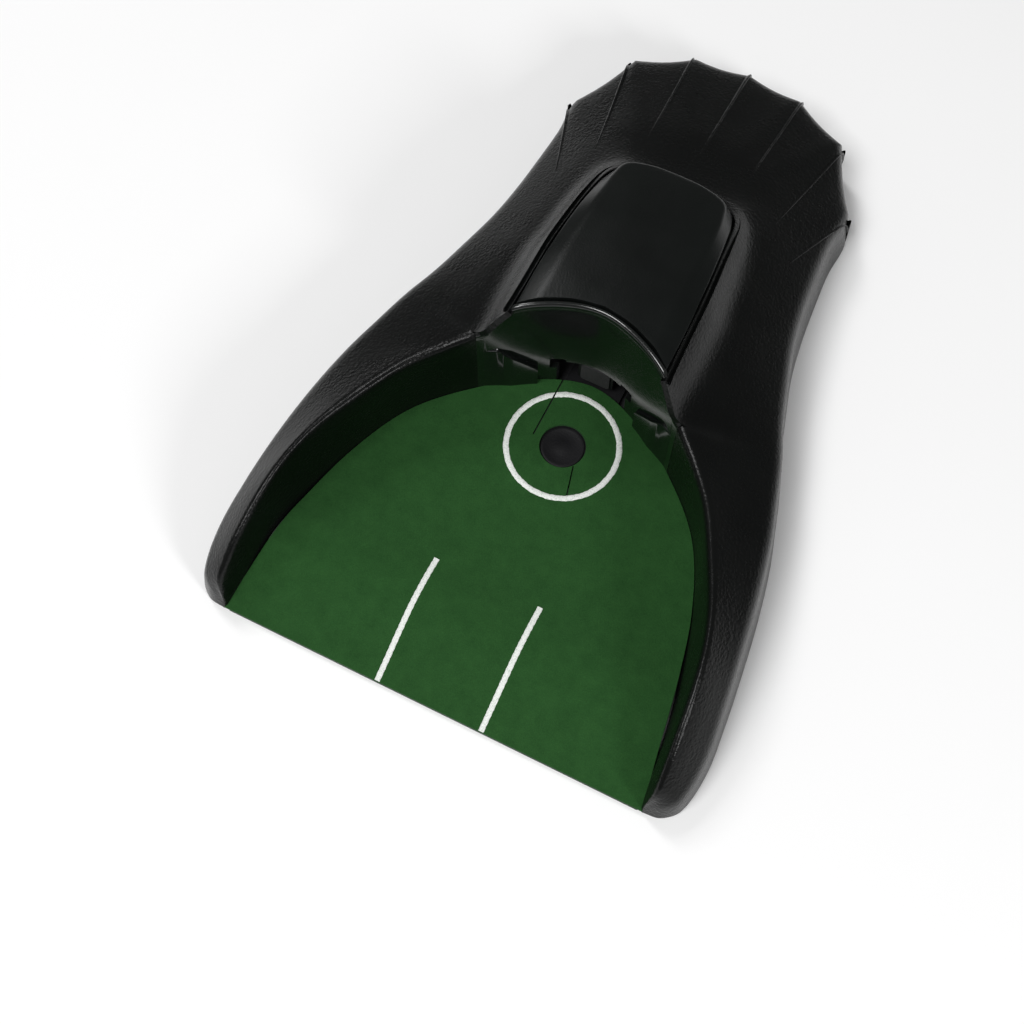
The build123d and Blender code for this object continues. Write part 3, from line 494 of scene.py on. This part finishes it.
BODY_COLOUR = (0.0020, 0.0024, 0.0022)
HOOD_COLOUR = (0.0026, 0.0036, 0.0032)
CUP_COLOUR = (0.003, 0.004, 0.0035)
LOOKS = {
    "grained_black": plastic("grained_black", BODY_COLOUR, 0.27, 950.0, 0.00012, 0.19, 0.0, 0.02),
    "satin_black": plastic("satin_black", HOOD_COLOUR, 0.30, 1800.0, 0.00003, 0.26, 0.0, 0.02),
    "gloss_black": plastic("gloss_black", CUP_COLOUR, 0.16, 500.0, 0.00001, 0.5, 0.3, 0.02),
    "inner_black": plastic("inner_black", (0.018, 0.018, 0.02), 0.45, 1400.0, 0.00006),
    "dark_plastic": plastic("dark_plastic", (0.005, 0.005, 0.006), 0.5, 1500.0, 0.00004, 0.25, 0.0, 0.01),
    "switch_plastic": plastic("switch_plastic", (0.045, 0.045, 0.05), 0.45, 1600.0, 0.00004),
    "foot_rubber": plastic("foot_rubber", (0.025, 0.025, 0.026), 0.8, 1200.0, 0.00008, 0.3),
    "white_nylon": plastic("white_nylon", (0.72, 0.72, 0.68), 0.42, 1500.0, 0.00004, 0.5, 0.0, 0.2),
    "cell_jacket": plastic("cell_jacket", (0.30, 0.33, 0.37), 0.3, 900.0, 0.00001, 0.5, 0.3),
    "board_green": plastic("board_green", (0.015, 0.12, 0.05), 0.3, 900.0, 0.00002, 0.5, 0.3),
    "wire_jacket": plastic("wire_jacket", (0.42, 0.02, 0.02), 0.45, 1400.0, 0.00003),
    "green_felt": felt("green_felt", (0.011, 0.051, 0.011), (0.026, 0.096, 0.023)),
    "white_print": flock("white_print"),
    "screw_steel": metal("screw_steel", (0.62, 0.62, 0.63), 0.32),
    "contact_metal": metal("contact_metal", (0.75, 0.75, 0.76), 0.22),
    "brass": metal("brass", (0.72, 0.55, 0.24), 0.3),
    "motor_steel": metal("motor_steel", (0.60, 0.61, 0.63), 0.38),
}


def dress(obj, slot_name):
    """Gives a new piece the look of its slot."""
    obj.data.materials.clear()
    obj.data.materials.append(LOOKS[slot_name])
    return obj


for entry in frame["record"]["subparts"]:
    node = frame["nodes"][entry["node"]]
    for slot_index in range(len(node.material_slots)):
        node.material_slots[slot_index].material = LOOKS[entry["material_slot"]]


# ---------------------------------------------------------------- body moulding
FOOT = [station[0] for station in STATIONS]
FOOT_KEYS = chord_keys(FOOT)
RIM_DEPTH = 10.0             # rounded part of the mouth's rim ends this far down
TIP_SAG = 0.9                # panels between rib tips are slightly hollow
STEPS = 7                    # grid lines between two stations
OUTER_CUTS = [4.6, 3.0, 5.0]    # rounding at the shoulder, on the slope and before the crest
RIM_CUTS = [6.0, 1.0]        # rounding at the mouth's rim and below it
HOOD_CUTS = [7.0, 4.0, 0.9]  # rounding up to the hood's recess, at its edge and inside it
NOSE_TAPER = 12              # the wall reaches its full thickness this far behind the front
NORMALS = []
for i, point in enumerate(FOOT):
    before = FOOT[max(i - 1, 0)]
    after = FOOT[i + 1] if i + 1 < len(FOOT) else (-FOOT[i - 1][0], FOOT[i - 1][1])
    along = (after[0] - before[0], after[1] - before[1])
    NORMALS.append((-along[1] / hypot(*along), along[0] / hypot(*along)))
NORMALS[0] = (0.0, 1.0)
NORMALS[-1] = (0.0, -1.0)


def inset(i, distance, z):
    x, y = add(FOOT[i], NORMALS[i], distance)
    return (x, y, z)


def outer_controls(i):
    """Control points of a station from the wall foot up to the crest."""
    _, shoulder, crest = STATIONS[i]
    foot = inset(i, 0.0, 1.0)
    corner = inset(i, DRAFT * shoulder + 0.6, shoulder + 0.6)
    span = sum((p - q) ** 2 for p, q in zip(corner, crest)) ** 0.5
    slope = add(mix(corner, crest, min(8.0 / span, 0.34)), (0, 0, 0.012 * span))
    reach = add(mix(corner, crest, 0.66), (0, 0, 0.016 * span))
    return [foot, corner, slope, reach, crest]


def rail_sample(rails, t):
    """One point on each rail; between rib tips the outer rails run straight."""
    out = []
    start = FOOT_KEYS[FIRST_TIP]
    for r, points in enumerate(rails):
        p = rail(points, FOOT_KEYS[:len(points)], t) if t <= start or r > 2 else None
        if p is None:
            i = max(k for k in range(FIRST_TIP, len(FOOT_KEYS) - 1) if FOOT_KEYS[k] <= t + 1e-9)
            s = (t - FOOT_KEYS[i]) / (FOOT_KEYS[i + 1] - FOOT_KEYS[i])
            p = mix(points[i], points[i + 1], s)
            normal = mix(NORMALS[i], NORMALS[i + 1], s)
            hollow = TIP_SAG * sin(pi * clamp(s))
            p = (p[0] + normal[0] * hollow, p[1] + normal[1] * hollow, p[2] - hollow * 0.3)
        out.append(p)
    return out


def wall_point(crest, top, depth):
    """Point of the mouth wall below the rim: level top, going down by a depth."""
    share = nearest_share(crest)
    x, y = mouth_at(share)
    nx, ny = mouth_normal(share)
    z = top - depth
    lean = mouth_lean(y, z)
    return (x + nx * lean, y + ny * lean, z)


def nearest_share(point):
    """Share of the mouth outline nearest to a point of the rim."""

    def gap(share):
        x, y = mouth_at(clamp(share))
        return hypot(x - point[0], y - point[1])

    best = min((k / 120 for k in range(61)), key=gap)
    step = 1 / 120
    while step > 1e-6:
        best = clamp(min((best - step, best, best + step), key=gap))
        step *= 0.6
    return best


def body_rows(first, last, inner):
    """Grid rows from station to station; inner() adds what lies inside the crest."""
    rails = list(zip(*[outer_controls(i) for i in range(len(STATIONS))]))
    rows = []
    for i in range(first, last):
        for k in range(STEPS + (1 if i == last - 1 else 0)):
            t = FOOT_KEYS[i] + (FOOT_KEYS[i + 1] - FOOT_KEYS[i]) * k / STEPS
            controls = rail_sample(rails, t)
            points, cuts = inner(controls, t)
            line = rounded(controls + points, OUTER_CUTS + cuts)
            counts = [4] + [1] * (len(line) - 3) + [3]
            rows.append(subdivided(line, counts))
    return rows


def mouth_inner(controls, _):
    """Rounded rim, then the mouth wall down to the felt."""
    crest = controls[-1]
    rim_top = crest[2]
    low = wall_point(crest, ramp(crest[1]) - 0.8, 0.0)
    high = wall_point(crest, rim_top, min(RIM_DEPTH, 0.6 * (rim_top - low[2])))
    edge = wall_point(crest, rim_top, 0.0)
    controls[-1] = add(mix(crest, edge, 0.7), (0, 0, 0.6))
    return [high, low], RIM_CUTS


def hood_inner(controls, t):
    """Slope up to the recess of the hood, its edge, and the recess wall."""
    edge = rail(RECESS, FOOT_KEYS[FIRST_HOOD:], t)
    crest = controls[-1]
    rise = add(mix(crest, edge, 0.55), (0, 0, 1.2 * smooth((edge[2] - crest[2]) / 12)))
    inner_edge = (edge[0] * 0.995, edge[1], edge[2] - 5.0)
    return [rise, edge, inner_edge], HOOD_CUTS


def make_body():
    mouth_side = both_sides(body_rows(0, FIRST_HOOD, mouth_inner))
    hood_side = both_sides(body_rows(FIRST_HOOD, len(STATIONS) - 1, hood_inner))
    nose = nose_cap()
    obj = new_object("body_moulding", *join_parts([mouth_side, hood_side, nose]), crease=50)
    return solid_skin(obj, WALL, 50, wall_share)


def wall_share(at):
    """Share of the wall's thickness: thin at the front edge, full behind the nose."""
    return 0.06 + 0.94 * smooth((at.y / MM - FRONT_Y - 1) / NOSE_TAPER)


def nose_cap():
    """Closes the front of each nose from the first row down to the floor."""
    row = body_rows(0, 1, mouth_inner)[0]
    middle = [(row[-1][0] + (row[0][0] - row[-1][0]) * 0.5, FRONT_Y + 0.2, 1.0)]
    verts = row + middle
    centre = len(row)
    faces = [(i, i + 1, centre) for i in range(len(row) - 1)]
    return with_mirror(verts, faces)


# Section of a rib: share of its half width across, share of its height up (or mm down).
RIB_SECTION = [(-1.5, -0.5), (-0.75, 0.28), (-0.3, 0.9), (0.0, 1.0), (0.25, 0.86), (0.5, 0.3), (1.0, -0.5)]
RIB_STEPS, RIB_WALL_STEPS = 46, 8
RIB_HEIGHT = 0.85


def ridge(tree, start, tip, shoulder):
    """Thin ridge over the surface from behind the hood to a rib tip and down the wall."""
    length = hypot(tip[0] - start[0], tip[1] - start[1])
    ux, uy = (tip[0] - start[0]) / length, (tip[1] - start[1]) / length
    path = []
    for k in range(RIB_STEPS + 1):
        s = (length - DRAFT * shoulder - 0.4) * k / RIB_STEPS
        x, y = start[0] + ux * s, start[1] + uy * s
        hit, normal, _, _ = tree.ray_cast(Vector((x * MM, y * MM, 0.2)), Vector((0, 0, -1)))
        if hit is None:
            continue
        path.append((tuple(c / MM for c in hit), tuple(normal), k / RIB_STEPS))
    for k in range(1, RIB_WALL_STEPS + 1):
        z = shoulder - 1.5 - (shoulder - 3.0) * k / RIB_WALL_STEPS
        reach = length - DRAFT * z - 0.25
        point = (start[0] + ux * reach, start[1] + uy * reach, z)
        path.append((point, (ux, uy, 0.1), 0.28 - 0.26 * k / RIB_WALL_STEPS))
    rows = []
    for (x, y, z), normal, share in path:
        height = RIB_HEIGHT * smooth(share / 0.3) * (0.35 + 0.65 * clamp(share))
        half = 0.55 + 0.35 * share
        side = (uy * half, -ux * half, 0)
        row = []
        for across, up in RIB_SECTION:
            lifted = up * height if up > 0 else up
            row.append(add(add((x, y, z), side, across), normal, lifted))
        rows.append(row)
    verts, faces = grid(rows)
    last = len(rows[0])
    faces.append(tuple(range(last)))
    faces.append(tuple(len(verts) - 1 - i for i in range(last)))
    faces += [
        (j * last, (j + 1) * last, (j + 2) * last - 1, (j + 1) * last - 1) for j in range(len(rows) - 1)
    ]
    return verts, faces


def make_ribs(body):
    tree = BVHTree.FromObject(body, bpy.context.evaluated_depsgraph_get())
    parts = []
    for start, (tip, shoulder, _) in zip(RIB_STARTS, STATIONS[FIRST_TIP:]):
        for side in (1, -1) if tip[0] else (1,):
            parts.append(ridge(tree, (side * start[0], start[1]), (side * tip[0], tip[1]), shoulder))
    return new_object("fan_ribs", *join_parts(parts), crease=60)


# ---------------------------------------------------------------- hood
# Edge at the recess, edge of the flat top, a point half way in, and the middle line.
HOOD = [
    ((28.5, -14.2, 65.4), (22.0, -9.6, 67.1), (11.0, -4.6, 67.6), (0.0, -3.0, 67.7)),
    ((28.5, 4.0, 65.0), (22.0, 4.0, 67.0), (11.0, 4.0, 67.5), (0.0, 4.0, 67.6)),
    ((27.9, 18.0, 64.0), (21.9, 18.0, 66.2), (11.0, 16.0, 66.9), (0.0, 15.0, 67.1)),
    ((27.0, 32.0, 61.8), (21.7, 31.0, 65.0), (11.0, 27.0, 66.0), (0.0, 25.0, 66.3)),
    ((25.9, 44.0, 58.2), (21.4, 42.0, 63.5), (11.0, 36.0, 65.0), (0.0, 33.0, 65.4)),
    ((24.5, 53.0, 54.2), (21.0, 50.5, 62.2), (10.8, 43.0, 64.1), (0.0, 39.0, 64.7)),
    ((21.2, 59.6, 51.5), (19.0, 57.0, 61.0), (9.5, 49.5, 63.1), (0.0, 43.5, 64.2)),
    ((11.0, 61.9, 50.5), (10.2, 60.0, 60.8), (5.2, 54.5, 62.3), (0.0, 46.5, 63.8)),
    ((0.0, 62.3, 50.5), (0.0, 60.6, 60.9), (0.0, 56.0, 62.2), (0.0, 49.0, 63.4)),
]


def make_hood():
    rails = [[station[r] for station in HOOD] for r in range(4)]
    keys = chord_keys(rails[0])
    rows = []
    total = 64
    for k in range(total + 1):
        t = keys[-1] * k / total
        edge, top, half, middle = (rail(points, keys, t) for points in rails)
        drop = (edge[0] * 0.992, edge[1] - 0.15 * smooth((edge[1] - 55) / 6), edge[2] - 6.5)
        line = rounded([drop, edge, top, half, middle], [1.0, 1.8, 5.0])
        rows.append(subdivided(line, [3] + [1] * (len(line) - 3) + [3]))
    verts, faces = both_sides(rows)
    obj = new_object("hood_moulding", verts, faces, crease=45)
    return solid_skin(obj, HOOD_WALL, 45)


# ---------------------------------------------------------------- cup wall
# Top edge of the cup wall: distance from the middle and height.
LIP = [
    (0.0, 66.9), (16.0, 66.8), (24.0, 66.2), (28.5, 64.8), (30.5, 62.0), (33.0, 56.0), (36.0, 50.6),
    (38.5, 50.0),
]
LIP_KEYS = [x for x, _ in LIP]
CUP_HALF = 38.9
CUP_PROUD = 0.12             # the cup wall stands in front of the wings' walls by this
WINDOW_HALF, WINDOW_LOW, WINDOW_TOP = 14, 4.0, 23.8
NOTCH_IN, NOTCH_OUT, NOTCH_LOW, NOTCH_TOP = 11, 16.5, 18.5, 25.6
CUTTER_Y = (-30, 8)          # span of the blocks that cut through the cup wall
SKIRT_IN, SKIRT_OUT = 20.5, 36.8


def lip_height(x):
    return rail([(z,) for _, z in LIP], LIP_KEYS, min(abs(x), LIP_KEYS[-1]))[0]


def swept_wall(name, x0, x1, profile, steps, crease=40):
    """Closed section swept along the mouth outline; profile(x) gives (out, z) points."""
    s0, s1 = mouth_share_at_x(x0), mouth_share_at_x(x1)
    rows = []
    for k in range(steps + 1):
        share = s0 + (s1 - s0) * k / steps
        x, y = mouth_at(share)
        nx, ny = mouth_normal(share)
        rows.append([(x + nx * out, y + ny * out, z) for out, z in profile(x)])
    return new_object(name, *capped(*grid(rows, closed=True), len(rows[0])), crease)


def cutter_plan(x0, x1):
    """Plan of a block that cuts through the cup wall between two places across it."""
    front, back = CUTTER_Y
    return [(x0, front), (x1, front), (x1, back), (x0, back)]


def make_cup_wall():
    round_steps = 6

    def section(x):
        top = lip_height(x)
        r = LINER / 2
        points = [(0.0, 6.0), (0.0, 16.0), (0.0, 28.0), (0.0, top - 14.0), (0.0, top - 4.0), (0.0, top - r)]
        points = [(out - CUP_PROUD, z) for out, z in points]
        for k in range(1, round_steps):
            a = pi - pi * k / round_steps
            points.append((r + r * cos(a), top - r + r * sin(a)))
        points += [(LINER, top - r), (LINER, top - 14.0), (LINER, 6.0)]
        return points

    def skirt(x):
        top = 20.0 + 16.0 * clamp((abs(x) - SKIRT_IN) / 12.5)
        deep = 1.9 * clamp((36.9 - abs(x)) / 8) + 0.15
        return [
            (0.6, 6.5), (0.6, top + 1.6), (-0.7 * deep, top + 0.5), (-deep, top - 0.4), (-deep, 8.2),
            (-deep, 6.5),
        ]

    wall = swept_wall("cup_wall", CUP_HALF, -CUP_HALF, section, 140)
    window = prism("window", cutter_plan(-WINDOW_HALF, WINDOW_HALF), WINDOW_LOW, WINDOW_TOP)
    notches = [
        prism("notch", cutter_plan(a, b), NOTCH_LOW, NOTCH_TOP)
        for a, b in ((-NOTCH_OUT, -NOTCH_IN), (NOTCH_IN, NOTCH_OUT))
    ]
    cut(wall, window, *notches)
    for side in (1, -1):
        block = swept_wall("skirt", side * SKIRT_OUT, side * SKIRT_IN, skirt, 28)
        cut(wall, block, operation="UNION")
    return wall


# ---------------------------------------------------------------- felt and print
LEFT_SLIT = (-11.5, 0, -11.9, -33.0)
RIGHT_SLIT = (7.0, -38.0, 10.5, -52.0)


def felt_outline(margin):
    """Plan of the felt, a little inside the mouth walls."""
    points = []
    for k in range(181):
        share = k / 180
        x, y = mouth_at(share)
        nx, ny = mouth_normal(share)
        points.append((x - nx * margin, max(y - ny * margin, FRONT_Y + 0.15)))
    return points


def slit_outline(x0, y0, x1, y1, width):
    turn = atan2(y1 - y0, x1 - x0)
    sx, sy = -sin(turn) * width / 2, cos(turn) * width / 2
    return [(x0 + sx, y0 + sy), (x0 - sx, y0 - sy), (x1 - sx, y1 - sy), (x1 + sx, y1 + sy)]


def sheet_block(x_half, y0, y1, low, high, nx, ny):
    """Layer that follows the ramp between two offsets from the felt surface."""
    rows = []
    for j in range(ny + 1):
        y = y0 + (y1 - y0) * j / ny
        z = ramp(y)
        top = [(-x_half + 2 * x_half * i / nx, y, z + high) for i in range(nx + 1)]
        bottom = [(x_half - 2 * x_half * i / nx, y, z + low) for i in range(nx + 1)]
        rows.append(top + bottom)
    return capped(*grid(rows, closed=True), len(rows[0]))


def make_felt():
    obj = new_object("felt_sheet", *sheet_block(86.0, -145.0, 0.0, -FELT, 0.0, 40, 150))
    plan = prism("plan", felt_outline(FELT_MARGIN), FELT_LOW, FELT_HIGH)
    cut(obj, plan, operation="INTERSECT")
    hole = prism("hole", circle(0, CUP_Y, HOLE_R), FELT_LOW, FELT_HIGH)
    left = prism("slit", slit_outline(*LEFT_SLIT, 0.55), FELT_LOW, FELT_HIGH)
    right = prism("slit", slit_outline(*RIGHT_SLIT, 0.5), FELT_LOW, FELT_HIGH)
    cut(obj, hole, left, right)
    return obj


def wobble(t, seed):
    """Small uneven offset of a printed edge."""
    return 0.05 * sin(19 * t + seed) + 0.04 * sin(43 * t + 2.3 * seed) + 0.03 * sin(71 * t + 0.7 * seed)


def printed_strip(centre, normal, width, count, closed, seed):
    """Raised strip of print along a plan path, with soft uneven edges."""
    rows = []
    for k in range(count + (0 if closed else 1)):
        t = k / count
        x, y = centre(t)
        nx, ny = normal(t)
        turns = 2 * pi * t
        half_a = width / 2 + wobble(turns, seed)
        half_b = width / 2 + wobble(turns, seed + 1.7)
        row = []
        section = [
            (-half_a, -0.05), (-half_a * 0.88, 0.16), (0, 0.22), (half_b * 0.88, 0.16), (half_b, -0.05),
        ]
        for off, up in section:
            px, py = x + nx * off, y + ny * off
            row.append((px, py, ramp(py) + up))
        rows.append(row)
    if closed:
        rows.append(rows[0])
    verts, faces = grid(rows)
    wide = len(rows[0])
    faces += [
        (j * wide, (j + 1) * wide, (j + 2) * wide - 1, (j + 1) * wide - 1) for j in range(len(rows) - 1)
    ]
    if not closed:
        faces.append(tuple(range(wide)))
        faces.append(tuple(len(verts) - 1 - i for i in range(wide)))
    return verts, faces


def make_ring():
    middle = (RING_OUT + RING_IN) / 2
    verts, faces = printed_strip(
        lambda t: (middle * cos(2 * pi * t), CUP_Y + middle * sin(2 * pi * t)),
        lambda t: (cos(2 * pi * t), sin(2 * pi * t)), RING_OUT - RING_IN, 420, True, 0.4)
    obj = new_object("target_ring", verts, faces, crease=60)
    slit = prism("slit", slit_outline(*LEFT_SLIT, 0.6), FELT_LOW, FELT_HIGH)
    return cut(obj, slit, crease=60)


def make_lines():
    parts = []
    for side in (-1, 1):
        x = side * (LINE_OUT - LINE_W / 2)
        parts.append(printed_strip(
            lambda t, x=x: (x, FRONT_Y + PRINT_START + (LINE_END_Y - FRONT_Y - PRINT_START) * t),
            lambda t: (1.0, 0.0), LINE_W, 90, False, 2.0 + side))
    return new_object("aim_lines", *join_parts(parts), crease=60)


def make_disc():
    """Trigger disc: rounded edge, shallow dish and a raised centre."""
    top = disc_high[2]
    profile = [
        (0.0, top - 0.05), (2.2, top - 0.08), (2.8, top - 0.22), (6.4, top - 0.26), (7.1, top - 0.06),
        (DISC_R - 0.35, top), (DISC_R - 0.08, top - 0.12), (DISC_R, top - 0.4), (DISC_R, top - 0.8),
        (3.0, top - 0.8), (3.0, disc_low[2]), (0.0, disc_low[2]),
    ]
    steps = 96
    rows = []
    for k in range(steps + 1):
        a = 2 * pi * k / steps
        rows.append([(r * cos(a), CUP_Y + r * sin(a), z) for r, z in profile])
    verts, faces = grid(rows)
    return new_object("trigger_disc", verts, faces, crease=30)


def place(piece, body, slot_name, *nodes):
    dress(piece, slot_name)
    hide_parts(*nodes)
    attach(piece, body)
    return piece


moulding = make_body()
ribs = make_ribs(moulding)
place(moulding, "body", "grained_black", "top_shell")
place(ribs, "body", "grained_black")
place(make_hood(), "body", "satin_black", "hood_cover")
place(make_cup_wall(), "body", "gloss_black", "cup_liner")
felt_sheet = place(make_felt(), "body", "green_felt", "felt_mat")
place(make_ring(), "body", "white_print", "ring_marking")
place(make_lines(), "body", "white_print", "line_markings")
place(make_disc(), "trigger", "dark_plastic", "trigger_button")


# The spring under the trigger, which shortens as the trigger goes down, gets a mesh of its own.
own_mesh(frame["nodes"]["trigger_spring"])


def felt_area():
    """Flat area of the felt: width along the ramp's own length, in square metres."""
    outline = felt_outline(FELT_MARGIN)
    total = 0.0
    steps = 400
    for k in range(steps):
        y0 = FRONT_Y + (MOUTH[-1][1] - FRONT_Y) * k / steps
        y1 = FRONT_Y + (MOUTH[-1][1] - FRONT_Y) * (k + 1) / steps
        crossing = [
            p[0] + (q[0] - p[0]) * ((y0 + y1) / 2 - p[1]) / (q[1] - p[1])
            for p, q in zip(outline[:91], outline[1:91]) if p[1] <= (y0 + y1) / 2 < q[1]
        ]
        half = crossing[0] if crossing else 0.0
        total += 2 * half * hypot(y1 - y0, ramp(y1) - ramp(y0))
    return (total - pi * HOLE_R**2) * MM * MM


felt_area()

# ---------------------------------------------------------------- floor, light and camera
FLOOR_HALF = 3
WORLD_STRENGTH = 0.20
# Each area light: place in metres, size and power.
LIGHTS = {
    "main": ((-0.34, -0.77, 1.48), (0.7, 0.7), 17),
    "left": ((-0.80, 0.50, 1.30), (0.3, 0.42), 6),
    "right": ((1.25, -0.58, 0.82), (0.26, 0.36), 8),
}
# Camera: seen from the mouth's right-hand side, steeply from above.
CAMERA_AZIMUTH, CAMERA_ELEVATION = radians(26.4), radians(69.2)
CAMERA_AT = (0.08648, -0.24883, 0.55094)
LENS, SENSOR = 56.0, 36.0

floor_mesh = bpy.data.meshes.new("floor")
floor_corners = [(x * FLOOR_HALF, y * FLOOR_HALF, 0) for x, y in ((-1, -1), (1, -1), (1, 1), (-1, 1))]
floor_mesh.from_pydata(floor_corners, [], [(0, 1, 2, 3)])
floor = bpy.data.objects.new("floor", floor_mesh)
scene.collection.objects.link(floor)
floor_mat, floor_nodes, floor_links, floor_shader, floor_at = material("pale_floor")
floor_tone = ramp_node(floor_nodes, floor_links, noise(floor_nodes, floor_links, floor_at, 3.0), [
    (0.3, grey(0.93)), (0.7, grey(0.95))])
floor_links.new(floor_tone, floor_shader.inputs["Base Color"])
floor_shader.inputs["Roughness"].default_value = 0.9
floor_shader.inputs["Specular IOR Level"].default_value = 0.1
floor_mesh.materials.append(floor_mat)

world = bpy.data.worlds.new("studio")
scene.world = world
world.use_nodes = True
world.node_tree.nodes["Background"].inputs["Color"].default_value = (1.0, 1.0, 1.0, 1.0)
world.node_tree.nodes["Background"].inputs["Strength"].default_value = WORLD_STRENGTH


def area_light(name, at, size, power):
    """Area light turned towards the object."""
    data = bpy.data.lights.new(name, "AREA")
    data.shape = "RECTANGLE"
    data.size, data.size_y = size
    data.energy = power
    obj = bpy.data.objects.new(name, data)
    obj.location = at
    obj.rotation_euler = Vector(at).to_track_quat("Z", "Y").to_euler()
    scene.collection.objects.link(obj)


for light_name, (place_at, panel, watts) in LIGHTS.items():
    area_light(light_name, place_at, panel, watts)
scene.view_settings.view_transform = "Standard"

ca, sa = cos(CAMERA_AZIMUTH), sin(CAMERA_AZIMUTH)
ce, se = cos(CAMERA_ELEVATION), sin(CAMERA_ELEVATION)
right = Vector((ca, sa, 0.0))
back = Vector((sa * ce, -ca * ce, se))
up = back.cross(right)
camera_data = bpy.data.cameras.new("camera")
camera_data.lens = LENS
camera_data.sensor_width = SENSOR
camera = bpy.data.objects.new("camera", camera_data)
turn = Matrix((right, up, back)).transposed().to_4x4()
camera.matrix_world = Matrix.Translation(CAMERA_AT) @ turn
scene.collection.objects.link(camera)
scene.camera = camera
